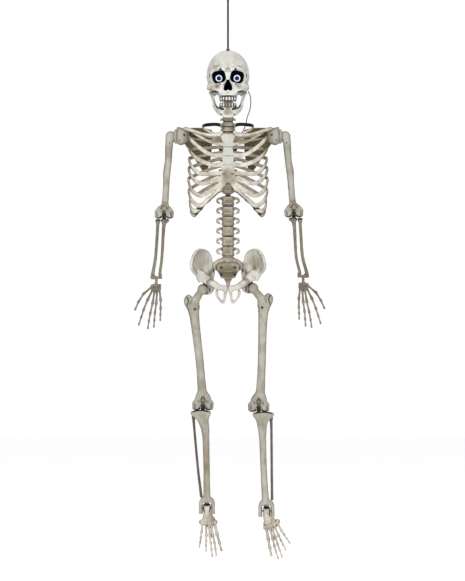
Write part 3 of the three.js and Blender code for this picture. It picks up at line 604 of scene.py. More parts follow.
def bone_material(name, pale, warm, wash, mottled, shade_from, flank):
    """Aged bone plastic: pale paint and an olive brown wash in the hollows, with painted shade on the
    flanks and near-black painted shade in deep gaps and along the painted shade lines.
    """
    n = Nodes(name)
    streaks = n.stretched((1, 1, 0.22))
    cloud = n.noise(22, 4, 0.6, warp=0.6)
    streak = n.noise(75, 5, 0.62, place=streaks)
    speck = n.noise(420, 3, 0.6)
    cavity = n.attribute("cavity")
    base = n.mix(n.span(cloud, 0.36, 0.66), rgb(pale), rgb(warm))
    dirt = n.math("MULTIPLY", n.span(streak, 0.46, 0.76), mottled)
    base = n.mix(dirt, base, OLIVE_WASH_AND_SHADE)
    base = n.mix(n.attribute("cool"), base, COOL)
    ragged = n.math("ADD", cavity, n.math("MULTIPLY", n.math("SUBTRACT", streak, 0.5), 0.3))
    washed = n.math("MULTIPLY", n.span(ragged, 0.04, 0.3), wash)
    base = n.mix(washed, base, OLIVE_WASH_AND_SHADE)
    # Painted shade on surfaces turned sideways: olive brown, then near black where they turn furthest.
    turned = n.math(
        "ADD", n.attribute("flank"), n.math("MULTIPLY", n.math("SUBTRACT", streak, 0.5), 0.25),
    )
    base = n.mix(n.math("MULTIPLY", n.span(turned, 0.2, 0.7), flank), base, OLIVE_WASH_AND_SHADE)
    base = n.mix(n.math("MULTIPLY", n.span(turned, 0.68, 1.0), flank), base, SHADE_BLACK)
    stain = n.math("MULTIPLY", n.attribute("stain"), n.span(streak, 0.3, 0.6, 0.6, 1.0))
    base = n.mix(stain, base, STAIN)
    rust = n.math("MULTIPLY", n.attribute("rust"), n.span(cloud, 0.3, 0.6, 0.5, 1.0))
    base = n.mix(rust, base, RUST)
    rubbed = n.math("MULTIPLY", n.span(n.attribute("edge"), 0.4, 0.9), 0.12)
    base = n.mix(rubbed, base, rgb("D0CCC2"))
    base = n.mix(n.span(speck, 0.64, 0.8, 0.0, 0.35), base, OLIVE_WASH_AND_SHADE)
    # Painted shade: near black in the deepest gaps.
    base = n.mix(n.span(ragged, shade_from, shade_from + 0.24, 0.0, 0.97), base, SHADE_BLACK)
    # Painted shade from the dark layer: lines and spots in gaps, holes, grooves and under edges.
    base = n.mix(n.attribute("dark"), base, SHADE_BLACK)
    base = n.mix(n.attribute("inner"), base, rgb("040303"))
    normal = n.bump(streak, 0.35, 0.0012)
    normal = n.bump(speck, 0.3, 0.0005, normal)
    rough = n.span(streak, 0.3, 0.7, 0.5, 0.7)
    return n.finish(base, rough, normal, Specular_IOR_Level=0.25)


def plastic_material(name, colour, dark, rough, shine=0.5):
    """Moulded plastic with a fine grain."""
    n = Nodes(name)
    cloud = n.noise(60, 3)
    grains = n.noise(900, 2)
    base = n.mix(n.span(cloud, 0.35, 0.7), rgb(colour), rgb(dark))
    rough_map = n.span(grains, 0.3, 0.7, rough - 0.08, rough + 0.1)
    return n.finish(base, rough_map, n.bump(grains, 0.25, 0.0003), Specular_IOR_Level=shine)


def metal_material(name, colour, dark, rough):
    """Metal with fine drawn lines along X."""
    n = Nodes(name)
    lines = n.noise(500, 3, place=n.stretched((0.08, 1, 1)))
    cloud = n.noise(90, 3)
    base = n.mix(n.span(cloud, 0.4, 0.75), rgb(colour), rgb(dark))
    return n.finish(base, n.span(lines, 0.3, 0.7, rough - 0.1, rough + 0.15),
                    n.bump(lines, 0.15, 0.0002), Metallic=1.0)


def cord_material(name, colour, dark):
    """Dull fibre or rubber."""
    n = Nodes(name)
    fibre = n.noise(1600, 2, place=n.stretched((1, 1, 0.5)))
    base = n.mix(n.span(fibre, 0.35, 0.65), rgb(colour), rgb(dark))
    return n.finish(base, n.span(fibre, 0.3, 0.7, 0.6, 0.85), n.bump(fibre, 0.5, 0.0003),
                    Specular_IOR_Level=0.08)


def glow_material(name, pale, blue, strength, shine=0.5):
    """The lit ring of an eye: pale blue with a slightly darker grain."""
    n = Nodes(name)
    grain = n.noise(260, 3)
    colour = n.mix(n.span(grain, 0.35, 0.7), rgb(pale), rgb(blue))
    n.link(colour, n.shader.inputs["Emission Color"])
    return n.finish(colour, n.span(grain, 0.3, 0.7, 0.15, 0.3), Emission_Strength=strength,
                    Specular_IOR_Level=shine)


def make_materials():
    return {
        "skull": bone_material("skull_bone", "B9B9B5", "A8A69E", 0.9, 0.3, 0.24, 0.15),
        "bone": bone_material("aged_bone", "95948A", "827F73", 0.9, 0.4, 0.22, 0.85),
        "wing": bone_material("wing_bone", "B3B0A8", "9E9A92", 0.9, 0.4, 0.24, 0.55),
        "forearm": bone_material("forearm_bone", "6F6B5F", "565246", 0.9, 0.45, 0.2, 1.0),
        "hand": bone_material("hand_bone", "736D61", "544E43", 0.95, 0.5, 0.14, 1.0),
        "small": bone_material("small_bone", "B0A79B", "8D8476", 0.95, 0.5, 0.17, 0.9),
        "ribs": bone_material("rib_bone", "B7B2A8", "968F82", 0.9, 0.4, 0.24, 0.9),
        "shaded": bone_material("shaded_bone", "64563C", "4E432E", 0.8, 0.5, 0.26, 0.5),
        "slim": bone_material("slim_bone", "544E46", "3F3A33", 0.8, 0.5, 0.26, 0.7),
        "spine": bone_material("spine_bone", "A19A8C", "877F6F", 0.95, 0.5, 0.18, 0.8),
        "socket": plastic_material("socket_black", "040405", "020203", 0.8, shine=0.05),
        "black": plastic_material("black_plastic", "161618", "0C0C0E", 0.5, shine=0.25),
        "hub": plastic_material("hub_plastic", "8C877E", "767066", 0.55, shine=0.25),
        "switch": plastic_material("switch_plastic", "77777B", "5D5D61", 0.4),
        "steel": metal_material("pin_steel", "9A9A9C", "6E6E70", 0.32),
        "dark_steel": metal_material("hook_metal", "3A3A3C", "202022", 0.38),
        "cord": cord_material("black_cord", "0A0A0B", "040404"),
        "wire": cord_material("black_wire", "0C0C0D", "050505"),
        "glow": glow_material("eye_glow", "CFD6EE", "B2BDE2", 0.55),
        "pupil": glow_material("eye_pupil", "0C163E", "070C26", 0.08, 0.12),
        "jacket": plastic_material("battery_jacket", "35603C", "2A4C30", 0.3),
        "tip": metal_material("battery_tip", "C0BFBA", "9A9994", 0.25),
    }


# ---------- round and boxed hardware ----------
def lathe(name, profile, centre, axis, material, body, nodes, around=40):
    """A turned piece: (along, radius) rows about an axis through centre, in millimetres."""
    rows = np.array(profile, float)
    turns = np.arange(around) / around * 2 * math.pi
    u, v = [(1, 2), (2, 0), (0, 1)][axis]
    points = np.zeros((len(rows), around, 3))
    points[:, :, axis] = rows[:, :1]
    points[:, :, u] = rows[:, 1:2] * np.cos(turns)
    points[:, :, v] = rows[:, 1:2] * np.sin(turns)
    points = points.reshape(-1, 3) + np.array(centre, float)
    ring, turn = np.meshgrid(np.arange(len(rows) - 1), np.arange(around), indexing="ij")
    after = (turn + 1) % around
    a, b = ring * around + turn, ring * around + after
    quads = np.stack([a, b, b + around, a + around], -1).reshape(-1, 4)
    obj = build_mesh(name, points * MM, quads, {})
    bm_clean(obj)
    obj.data.materials.append(material)
    dress(obj, body, nodes)
    return obj


def bm_clean(obj):
    """Closes the poles of a turned mesh and points its faces out."""
    bm = bmesh.new()
    bm.from_mesh(obj.data)
    bmesh.ops.remove_doubles(bm, verts=bm.verts, dist=1e-6)
    bmesh.ops.recalc_face_normals(bm, faces=bm.faces)
    bm.to_mesh(obj.data)
    bm.free()
    obj.data.set_sharp_from_angle(angle=math.radians(38))


def dress(obj, body, nodes):
    """Tells the frame which body a piece rides, which nodes it stands for."""
    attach(obj, body)
    if nodes:
        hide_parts(*nodes)


def tube_mesh(name, rings, radius, around, twist=0.0, ply=0, depth=0.0):
    """A closed tube through ring centres in millimetres. ply and twist lay strands round it."""
    rings = np.array(rings, float)
    tangents = np.gradient(rings, axis=0)
    tangents /= np.linalg.norm(tangents, axis=1)[:, None]
    side = unit(np.cross(tangents[0], (0, 1, 0.2)))
    points = []
    run = 0.0
    for i, (centre, tangent) in enumerate(zip(rings, tangents)):
        side = unit(side - tangent * (side @ tangent))
        up = np.cross(tangent, side)
        run += 0 if i == 0 else np.linalg.norm(centre - rings[i - 1])
        angle = np.arange(around) / around * 2 * math.pi
        r = np.array(radius[i] if np.ndim(radius) else radius) * np.ones(around)
        if ply:
            strands = abs(
                np.sin(ply * angle / 2 + twist * run),
            ) * abs(np.sin(ply * angle / 2 - twist * run))
            r = r - depth + depth * 1.6 * np.sqrt(strands)
        points.append(centre + np.outer(r * np.cos(angle), side) + np.outer(r * np.sin(angle), up))
    points = np.array(points).reshape(-1, 3)
    count = len(rings)
    ring, turn = np.meshgrid(np.arange(count - 1), np.arange(around), indexing="ij")
    after = (turn + 1) % around
    a, b = ring * around + turn, ring * around + after
    quads = np.stack([a, b, b + around, a + around], -1).reshape(-1, 4)
    caps = []
    points = np.vstack([points, rings[0], rings[-1]])
    for end, base, hub in ((0, 0, len(points) - 2), (1, (count - 1) * around, len(points) - 1)):
        for t in range(around):
            pair = [base + t, base + (t + 1) % around]
            caps.append([hub, *(pair if end else pair[::-1])])
    obj = build_mesh(name, points * MM, quads, {})
    bm = bmesh.new()
    bm.from_mesh(obj.data)
    bm.verts.ensure_lookup_table()
    for cap in caps:
        face = bm.faces.new([bm.verts[i] for i in cap])
        face.smooth = True
    bmesh.ops.recalc_face_normals(bm, faces=bm.faces)
    bm.to_mesh(obj.data)
    bm.free()
    return obj


# ---------- cords and the hanging gear ----------
HANG_TOP, HANG_BOTTOM = -16.3, -163.7
HANG_DIAMETER = 5.2
HOOK_RADIUS = 1.6
WIRE_DIAMETER = 2.6
WIRE_ROUTE = [
    (60, 26, -290), (65, 30, -298), (68, 34, -312), (68, 38, -330), (64, 42, -350), (58, 45, -366),
    (55, 48, -381), (54, 50, -384.5), (50, 60, -398), (38, 71, -416), (20, 77, -430), (6, 77, -440),
    (0, 76, -451.6),
]


def hanging_gear(mat):
    """The braided cord with its hook, ferrule and eyelet, and the light wire."""
    ring_count = 160
    line = np.column_stack([np.zeros((ring_count, 2)), np.linspace(HANG_BOTTOM, HANG_TOP, ring_count)])
    cord = tube_mesh("hanging_cord", line, HANG_DIAMETER / 2, 24, twist=0.55, ply=6, depth=0.35)
    cord.data.materials.append(mat["cord"])
    dress(cord, "head", ["hanging_cord"])
    hook_line = spline([
        (0, 0, -15.6), (0, 0, -12), (4.5, 0, -8), (5.6, 0, -3.5), (4.2, 0, 0.2), (0, 0, 1.6),
        (-4.2, 0, 0.2), (-5.6, 0, -3.5), (-5.2, 0, -7),
    ], 8)
    thick = np.full(len(hook_line), HOOK_RADIUS)
    thick[-6:] = np.sqrt(np.linspace(1, 0.12, 6)) * HOOK_RADIUS  # the rounded tip
    hook = tube_mesh("hanging_hook", hook_line, thick, 20)
    hook.data.materials.append(mat["dark_steel"])
    dress(hook, "head", ["hanging_hook"])
    ferrule = lathe(
        "cord_ferrule",
        [(-22, 0), (-22, 2.7), (-21.5, 3.2), (-16.5, 3.2), (-16.1, 2.9), (-15.9, 2.2), (-15.6, 0)],
        (0, 0, 0), 2, mat["dark_steel"], "head", [],
    )
    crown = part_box("hanging_eyelet")[1].z / MM
    lathe(
        "hanging_eyelet",
        [(0, 0), (-0.1, 2.6), (-0.5, 4), (-1.4, 5.2), (-3, 6.3), (-3.7, 6.6), (-4, 6.1), (-4, 3.1),
         (-12.4, 3.1), (-12.5, 6.9), (-14.3, 6.9), (-14.5, 0)],
        (0, 0, crown), 2, mat["black"], "head", ["hanging_eyelet"],
    )
    route = spline(WIRE_ROUTE, 6)
    wire = tube_mesh("led_wire", route, WIRE_DIAMETER / 2, 12)
    wire.data.materials.append(mat["wire"])
    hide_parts("led_wire_upper", "led_wire_lower")
    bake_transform(wire)


# ---------- head ----------
CRANIUM = (vec(0, 12, -238), vec(63, 78, 69.5))
EYE_X, EYE_Z = 27.5, -250.6
CUP_BACK = -32.0
SEAM_Y = 15.0
JAW_AT = JOINT["jaw_open"]
JAW_X = 51.0
NECK_Y = 22.0
TOOTH_COUNT, TOOTH_SPREAD = 8, 76
BASE_Z = -318.0


def on_cranium(right, back, up):
    """The point of the cranium's surface in that direction."""
    return CRANIUM[0] + CRANIUM[1] * unit((right, back, up))


def forehead(x, z):
    """The point of the cranium's front at that x and z."""
    c, r = CRANIUM
    share = max(1 - (x / r[0]) ** 2 - ((z - c[2]) / r[2]) ** 2, 0.02)
    return vec(x, c[1] - r[1] * math.sqrt(share), z)


def socket_hole(out, grow, front, back):
    """The rounded, slightly drooping eye opening, narrowing as it goes back."""
    droop = math.radians(14 * out)
    cos, sin = math.cos(droop), math.sin(droop)
    half_x, half_z, corner, reach = 20.2, 18.6, 13.0, 26

    def distance(x, y, z):
        depth = np.clip((y - front) / (back - front), 0, 1)
        scale = 1 - 0.3 * depth
        u = ((x - EYE_X * out) * cos - (z - EYE_Z) * sin) / scale
        v = ((x - EYE_X * out) * sin + (z - EYE_Z) * cos) / scale
        a, b = abs(u) - (half_x - corner), abs(v) - (half_z - corner)
        d = np.sqrt(np.maximum(a, 0) ** 2 + np.maximum(b, 0) ** 2) + np.minimum(np.maximum(a, b), 0)
        return np.maximum((d - corner) * scale - grow, np.maximum(y - back, -200 - y))

    low = vec(EYE_X * out - reach - grow, front - 30, EYE_Z - reach - grow)
    high = vec(EYE_X * out + reach + grow, back, EYE_Z + reach + grow)
    return low, high, distance


def crack(clay, points, width):
    """A carved line across the forehead through (x, z) pairs."""
    clay.path([forehead(*p) for p in points], width, 0.5, carve=True, per=3)


def dental_arch(side_x, front, back, turn):
    """A place along the tooth row, turn in degrees from the middle."""
    a = math.radians(turn)
    return side_x * math.sin(a), back - (back - front) * math.cos(a)


def teeth(clay, side_x, front, back, z, height):
    """A row of teeth with a groove after each one."""
    for i in range(TOOTH_COUNT):
        turn = TOOTH_SPREAD * (2 * (i + 0.5) / TOOTH_COUNT - 1)
        x, y = dental_arch(side_x, front, back, turn)
        clay.add(blob((x, y, z), (4.1, 3.4, height)), 0.2)
        a, b = dental_arch(side_x, front, back, turn + TOOTH_SPREAD / TOOTH_COUNT)
        clay.cut(capsule((a, b - 4, z + height), (a, b - 4, z - height - 2), 1.15), 0.3)


NOSE_OUTLINE = [(0, -257), (3.4, -258), (6.2, -265), (9.6, -274), (13.4, -283), (13, -290), (8, -293.4),
                (3, -292), (0, -289.5)]


def skull_clay():
    """The whole skull without the jaw, before it is split into its two shells."""
    clay = Clay((-70, -82, -324), (70, 96, -161), 1.15)
    clay.add(blob(*CRANIUM), 0)
    clay.add(blob((0, 66, -262), (36, 26, 30)), 16)
    for out in (-1, 1):
        clay.cut(blob((77 * out, -36, -252), (26, 28, 32)), 9)
        clay.add(blob((38 * out, -44, -281), (22, 15, 15)), 7)
        clay.add(blob((22 * out, -52, -272), (12, 12, 12)), 6)
        clay.path(
            mirrored([(49, -40, -240), (40, -52, -230), (24, -60, -226), (7, -61, -231)], out),
            [5, 6.3, 6.6, 5], 7,
        )
        ring = []
        for turn in np.linspace(0, 2 * math.pi, 13):
            x = EYE_X + 22.3 * math.cos(turn)
            ring.append((x * out, -54 + 9 * math.cos(turn), EYE_Z + 21.5 * math.sin(turn)))
        clay.path(ring, 4.0, 5, per=2)
        clay.path(
            mirrored(
                [
                    (27, -54, -290), (39, -50, -286), (49, -39, -283.5), (56, -23, -283.5),
                    (59, -5, -282.5), (57, 12, -279),
                ],
                out,
            ),
            [9, 9.6, 8.6, 6.4, 4.6, 5], 5,
        )
        clay.add(blob((49 * out, 16, -274), (13, 20, 11)), 6)
        clay.add(blob((43 * out, 31, -295), (8, 9, 11)), 6)
        clay.path(mirrored([(58, 6, -262), (61, 20, -250), (60, 34, -238)], out), 3, 5)
    clay.path([(0, -59, -231), (0, -64, -245), (0, -69, -258)], [6, 5.4, 4.4], 6)
    clay.add(blob((0, -43, -295), (28, 27, 21)), 7)
    clay.path([dental_arch(24.5, -64, -26, t) + (-305.5,) for t in (-80, -50, -20, 20, 50, 80)], 5.0, 3)
    teeth(clay, 25.5, -66, -26, -315.2, 6.2)
    lip = [dental_arch(22.5, -62.5, -24, t) + (-320.8,) for t in (-75, -45, -15, 15, 45, 75)]
    clay.path(lip, 3.2, 1)
    hollow = blob(CRANIUM[0], CRANIUM[1] - 3.4)
    clay.cut(hollow, 1)
    clay.cut(blob((0, -28, -280), (20, 30, 20)), 1)
    clay.add(revolved((0, NECK_Y, 0), [(BASE_Z, 22), (BASE_Z + 4, 24), (BASE_Z + 24, 31)], 2), 2)
    clay.cut(drum((0, NECK_Y, 0), BASE_Z - 9, BASE_Z + 40, 9.5, 2), 0)
    clay.cut(drum((0, NECK_Y, 0), BASE_Z + 9, BASE_Z + 40, 15, 2), 0)
    for out in (-1, 1):
        clay.path([(25 * out, 8, -296), (44.5 * out, 8, -296)], 5.4, 1)
        clay.path([(36 * out, 8, -296), (33 * out, 8, -272)], [5.4, 8], 2)
        clay.cut(drum((0, 8, -296), 44.7 * out if out > 0 else -70, 70 if out > 0 else -44.7, 7.4), 0)
        clay.cut(drum((0, 8, -296), 30 if out > 0 else -60, 60 if out > 0 else -30, 2.1), 0)
        clay.cut(socket_hole(out, GAP, -60, CUP_BACK + 1), 1.2)
        clay.cut(capsule((22.5 * out, -70, -227.5), (22.5 * out, -58, -226), 2.0), 1)
        clay.cut(capsule((23.5 * out, -72, -273), (23.5 * out, -54, -272), 2.0), 1)
        crack(clay, [(s * out, z) for s, z in ((47, -213), (39, -221), (31, -218), (24, -225))], 0.9)
        clay.path(
            [
                on_cranium(0.9 * out, b, u)
                for b, u in ((-0.5, 0.1), (-0.35, 0.45), (0.1, 0.55), (0.5, 0.3))
            ],
            0.8, 0.5, carve=True, per=4,
        )
    nose = NOSE_OUTLINE + [(-x, z) for x, z in reversed(NOSE_OUTLINE[1:-1])]
    clay.cut(plate(nose, 24, (0, -62, 0), (1, 0, 0), UP), 1)
    clay.cut(blob((0, -72, -298), (1.6, 8, 1.6)), 0.5)
    clay.cut(capsule((-25, -70, -308.2), (25, -70, -308.2), 1.0, wide=(0, 1, 0), ratio=4), 0.5)
    for points in (
        [(14, -186), (21, -191), (27, -187), (34, -193), (41, -190)],
        [(-9, -177), (-14, -183), (-10, -189), (-15, -194)],
        [(-3, -221), (1, -227), (-1, -234)],
        [(-33, -196), (-41, -203), (-38, -210)],
        [(36, -207), (44, -214), (41, -222)],
    ):
        crack(clay, points, 0.8)
    zigzag = [(0.05 * (-1) ** i, -0.45 + i * 0.07, 1) for i in range(24)]
    clay.path([on_cranium(*p) for p in zigzag], 0.9, 0.5, carve=True, per=2)
    for out in (-1, 1):
        coronal = [(0.12 * i * out, -0.45 + 0.03 * (-1) ** i, 1 - 0.05 * i) for i in range(9)]
        clay.path([on_cranium(*p) for p in coronal], 0.9, 0.5, carve=True, per=2)
        lambdoid = [(0.12 * i * out, 1, 0.75 - 0.11 * i + 0.03 * (-1) ** i) for i in range(8)]
        clay.path([on_cranium(*p) for p in lambdoid], 0.9, 0.5, carve=True, per=2)
    crown = CRANIUM[0][2] + CRANIUM[1][2]
    clay.cut(drum((0, 0, 0), crown - 20, crown + 10, 3.5, 2), 0)
    clay.cut(drum((0, 0, 0), crown - 30, crown - 6, 7.4, 2), 0)
    clay.cut(drum((0, 0, 0), crown + 0.3, crown + 12, 9, 2), 0)
    clay.stain((-42, -40, -212), 24, 0.3)
    clay.stain((-36, -54, -222), 14, 0.5)
    clay.stain((0, -64, -231), 10, 0.5)
    # Painted shade line along the brow crease.
    clay.paint_shade_along([(-9, -66, -234), (0, -66, -236.5), (9, -66, -234)], 2.2, 0.7)
    for out, amount in ((1, 0.7), (-1, 0.95)):
        clay.stain((39 * out, -50, -283), 17, 0.22, "rust")
        clay.stain((43 * out, -46, -286), 17, amount)
        clay.stain((32 * out, -56, -280), 11, amount)
        # Painted shade lines along the lower edge of the cheekbones.
        clay.paint_shade_along(
            [(43 * out, -52, -286), (35 * out, -58, -281), (26 * out, -62, -275)], 2.2, 0.7 * amount,
        )
        clay.paint_shade_along([(50 * out, -46, -283), (44 * out, -52, -279)], 1.9, 0.6 * amount)
    # Painted shade lines in the creases across the brow.
    for points in (
        [(-30, -60, -217), (-22, -62, -221), (-14, -65, -219), (-7, -66, -224)],
        [(28, -60, -218), (21, -62, -222), (13, -65, -220)],
        [(-36, -56, -213), (-27, -60, -212)],
        [(6, -66, -229), (-2, -67, -226), (-8, -66, -230)],
    ):
        clay.paint_shade_along(points, 2.0, 0.5)
    # Painted shade under the cheek arches and brows, and inside the small holes.
    for out in (-1, 1):
        clay.paint_shade_along([(61 * out, -16, -287), (52 * out, -38, -289.5), (42 * out, -54, -292.5),
                          (31 * out, -61, -297.5)], 4.8, 1.0)
        clay.paint_shade_along(mirrored([(46, -46, -238), (38, -58, -230), (26, -64, -228)], out), 3, 0.45)
        clay.stain((22.5 * out, -66, -228), 4.6, 0.9, "dark")
        clay.stain((23.5 * out, -62, -272.5), 3.6, 0.8, "dark")
    # Painted shade in the gaps above and below the upper teeth.
    clay.paint_shade_along(
        [(-26, -52, -308), (-14, -64, -308.6), (0, -68, -308), (14, -64, -308.6), (26, -52, -308)], 3.0,
        1.0,
    )
    clay.paint_shade_along([dental_arch(23, -64, -25, t) + (-322.4,) for t in range(-75, 76, 15)], 4.2, 1.0)
    return clay


def inside_cranium(place):
    """How black each place is painted: the inside of the shell and the throat."""
    c, r = CRANIUM
    depth = (((place - c) / (r - 2.2)) ** 2).sum(1)
    front = place[:, 1] < 5
    throat = (((place - vec(0, -30, -280)) / vec(23, 34, 22)) ** 2).sum(1) < 1
    return np.where((depth < 1) | (throat & front), 0.93, 0.0)


def head(mat):
    """The two skull shells, and an eye cup, lens, pupil, LED and jaw pin on each side."""
    clay = skull_clay()
    whole = clay.field.copy()
    clay.trim(1, SEAM_Y, True)
    sculpt(
        clay, "skull_front", ["skull_front"], "head", mat["skull"], 0.2, inside_cranium,
    )
    clay.field = whole
    clay.trim(1, SEAM_Y + GAP, False)
    sculpt(clay, "skull_back", ["skull_back"], "head", mat["skull"], 0.2, inside_cranium)
    for side, out in SIDES:
        cup = Clay((EYE_X * out - 26, -70, EYE_Z - 26), (EYE_X * out + 26, -24, EYE_Z + 26), 0.9)
        cup.add(socket_hole(out, 0, -60, CUP_BACK), 0)
        front = half_space(1, -49 - 8, False, cup.low, cup.high)
        cup.cut(front, 0)
        cup.cut(socket_hole(out, -1.3, -60, CUP_BACK - 1.5), 0.5)
        cup.cut(drum((EYE_X * out, 0, EYE_Z - 1), CUP_BACK - 6, CUP_BACK + 4, 2.9, 1), 0)
        sculpt(cup, f"{side}_eye_cup", [f"{side}_eye_cup"], "head", mat["socket"], 0)
        centre = (EYE_X * 0.98 * out, -39, EYE_Z - 3.6)
        lathe(
            f"{side}_eye_lens",
            [
                (0, 10), (-1.2, 10.2), (-2.4, 9.8), (-3.4, 8.9), (-4, 7.8), (-4, 7.2), (-3.4, 6.7),
                (-1, 6.6), (0, 6.6), (0, 10),
            ],
            centre, 1, mat["glow"], "head", [f"{side}_eye_lens"], 56,
        )
        lathe(
            f"{side}_eye_pupil",
            [
                (0, 0), (0, 6.4), (-2.8, 6.4), (-3.9, 5.6), (-4.7, 3.8), (-5.1, 1.9), (-4.7, 1.5),
                (-4.6, 0),
            ],
            centre, 1, mat["pupil"], "head", [], 40,
        )
        lathe(
            f"{side}_eye_led",
            [(0.3, 0), (0.3, 1.9), (0.9, 2.4), (7.5, 2.4), (7.8, 2.5), (11.4, 2.5), (11.5, 0)],
            centre, 1, mat["glow"], "head", [f"{side}_eye_led"], 24,
        )
        low, high = (v.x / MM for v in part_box(f"{side}_jaw_pin"))
        screw_pin(f"{side}_jaw_pin", (0, JAW_AT[1], JAW_AT[2]), low, high, 1.55, mat["steel"], "head")


def screw_pin(name, centre, low, high, radius, material, body):
    """A turned steel pin along X with chamfered, dimpled ends."""
    dimple = radius * 0.45
    lathe(
        name,
        [
            (low + 0.5, 0), (low + 0.5, dimple), (low, dimple + 0.3), (low, radius - 0.35),
            (low + 0.4, radius), (low + 2, radius), (low + 2.3, radius - 0.2),
            (high - 2.3, radius - 0.2), (high - 2, radius), (high - 0.4, radius), (high, radius - 0.35),
            (high, dimple + 0.3), (high - 0.5, dimple), (high - 0.5, 0),
        ],
        (0, centre[1], centre[2]), 0, material, body, [name], 28,
    )


def jaw(mat):
    """The lower jaw with its teeth and the two ears that its pins go through."""
    clay = Clay((-62, -76, -378), (62, 26, -284), 1.05)
    for out in (-1, 1):
        body = [
            (0, -57, -357), (12, -55.5, -357), (22, -46, -354.5), (30, -30, -349), (36.5, -14, -342),
            (40.5, -5, -333),
        ]
        clay.path(mirrored(body, out), [5.9, 5.8, 5.2, 4.6, 4.3, 4], 3, wide=UP, ratio=2.1)
        ramus = [(40.5, -6, -334), (43, -3, -322), (47, 3, -310), (50.5, 7, -300)]
        clay.path(mirrored(ramus, out), [4.2, 3.8, 3.5, 3.4], 3, wide=(0, 1, 0), ratio=2.7)
        clay.path(
            mirrored([(42, -12, -322), (43.5, -17, -309), (44.5, -17, -303)], out), [4, 3, 2.2], 3,
        )
        clay.add(revolved((JAW_X * out, 8, -296), [(-5, 5.4), (-3.6, 6.3), (3.6, 6.3), (5, 5.4)]), 1)
    clay.add(blob((0, -60, -364), (14, 7, 7.5)), 6)
    for t in (-1, 1):
        clay.add(blob((11 * t, -60, -366), (6, 6, 5)), 4)
    clay.path([dental_arch(25, -57, -18, t) + (-345,) for t in (-85, -60, -30, 0, 30, 60, 85)], 4.6, 3)
    teeth(clay, 25, -58.5, -18, -334, 7)
    for out in (-1, 1):
        clay.cut(capsule((21 * out, -74, -363), (20 * out, -50, -362), 1.7), 1)
        clay.cut(blob((20 * out, -60, -340), (4.6, 8, 2)), 0.8)
        clay.cut(drum((0, 8, -296), 30 if out > 0 else -60, 60 if out > 0 else -30, 2.1), 0)
        near, far = 56.0, 66.0
        clay.cut(drum((0, 8, -296), near if out > 0 else -far, far if out > 0 else -near, 8), 0)
        inner_edge = [
            (38, -10, -302), (37.5, -9, -318), (35.5, -11, -330), (30, -30, -340.5), (22, -46, -345),
            (14, -57, -347.5),
        ]
        # Painted shade along the jaw's inner edge, in the hollows under the lower teeth and in the chin
        # holes.
        clay.paint_shade_along(mirrored(inner_edge, out), 5.0, 1.0)
        clay.stain((20 * out, -64, -338), np.array((5, 10, 3.4)), 1.0, "dark")
        clay.stain((21 * out, -58, -363), 3.4, 0.9, "dark")
    clay.stain((0, -63, -337), np.array((12, 14, 17)), 0.95)
    clay.stain((0, -63, -356), np.array((16, 14, 12)), 0.75)
    sculpt(clay, "jaw", ["jaw"], "jaw", mat["skull"], 0.2)


# ---------- trunk ----------
def neck(mat):
    """Six neck bones and the peg that the skull turns on."""
    top, bottom = BASE_Z - 0.5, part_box("neck_spine")[0].z / MM
    clay = Clay((-30, -4, bottom - 2), (30, 60, -300), 1.05)
    clay.add(drum((0, NECK_Y, 0), BASE_Z + 10, BASE_Z + 14, 12, 2), 0)
    clay.add(drum((0, NECK_Y, 0), top - 4, BASE_Z + 12, 9, 2), 0)
    count = 6
    step = (top - bottom) / count
    for i in range(count):
        z = top - i * step
        wide = 14.5 + 0.5 * i
        clay.add(
            revolved(
                (0, NECK_Y, 0),
                [
                    (z - step, wide - 3), (z - step + 0.8, wide - 1), (z - step + 3, wide + 1.3),
                    (z - step + 5, wide), (z - 5, wide - 2.4), (z - 2.5, wide - 0.6),
                    (z - 0.6, wide - 2.4), (z, wide - 4),
                ],
                2,
            ),
            0.5,
        )
        middle = z - step * 0.5
        for out in (-1, 1):
            clay.path([(11 * out, 24, middle), (19 * out, 27, middle - 1), (21 * out, 28, middle - 4)],
                      [3.8, 3.2, 2.4], 2)
            clay.add(blob((11 * out, 35, middle), (5, 6, 5)), 2)
        clay.path([(0, 34, middle), (0, 45, middle - 4), (0, 49, middle - 6)], [4, 3.2, 2.6], 2)
    sculpt(clay, "neck_spine", ["neck_spine"], "torso", mat["spine"], 0.2)


FRONT_RIBS = [
    [(12, -49, -428), (45, -40, -418), (72, -20, -404), (76, 2, -397)],
    [(10, -52, -452), (48, -50, -446), (84, -36, -428), (104, -16, -416), (108, 2, -414)],
    [(12, -54, -484), (48, -56, -483), (80, -46, -465), (108, -24, -440), (120, 2, -426)],
    [(12, -60, -511), (47, -60, -513), (87, -48, -497), (106, -28, -481), (117, 2, -464)],
    [(12, -63, -536), (43, -62, -539), (84, -50, -538), (107, -27, -519), (118, 2, -492)],
    [(8, -65, -548), (50, -61, -563), (85, -48, -567), (110, -24, -545), (119, 2, -521)],
    [(3, -65, -556), (43, -60, -583), (78, -49, -604), (108, -24, -588), (120, 2, -553)],
    [(56, -54, -614), (84, -44, -634), (109, -22, -617), (119, 2, -587)],
    [(80, -36, -640), (100, -26, -650), (111, -12, -640), (115, 2, -617)],
]
COSTAL_ARCH = [
    (2, -66, -555), (27, -64, -587), (43, -60, -603), (66, -48, -623), (84, -32, -644),
    (100, -12, -662), (108, -4, -657), (111, 2, -648),
]
SPINE_RIB_Z = [-420, -430, -442, -456, -472, -490, -510, -532, -556, -582]
RIB_SEAM_Y = 2.0
STERNUM_OUTLINE = [
    (17, 1), (22, -7), (20, -14), (14.5, -36), (17.5, -64), (19, -92), (18.5, -116), (12, -134),
    (5, -146),
]


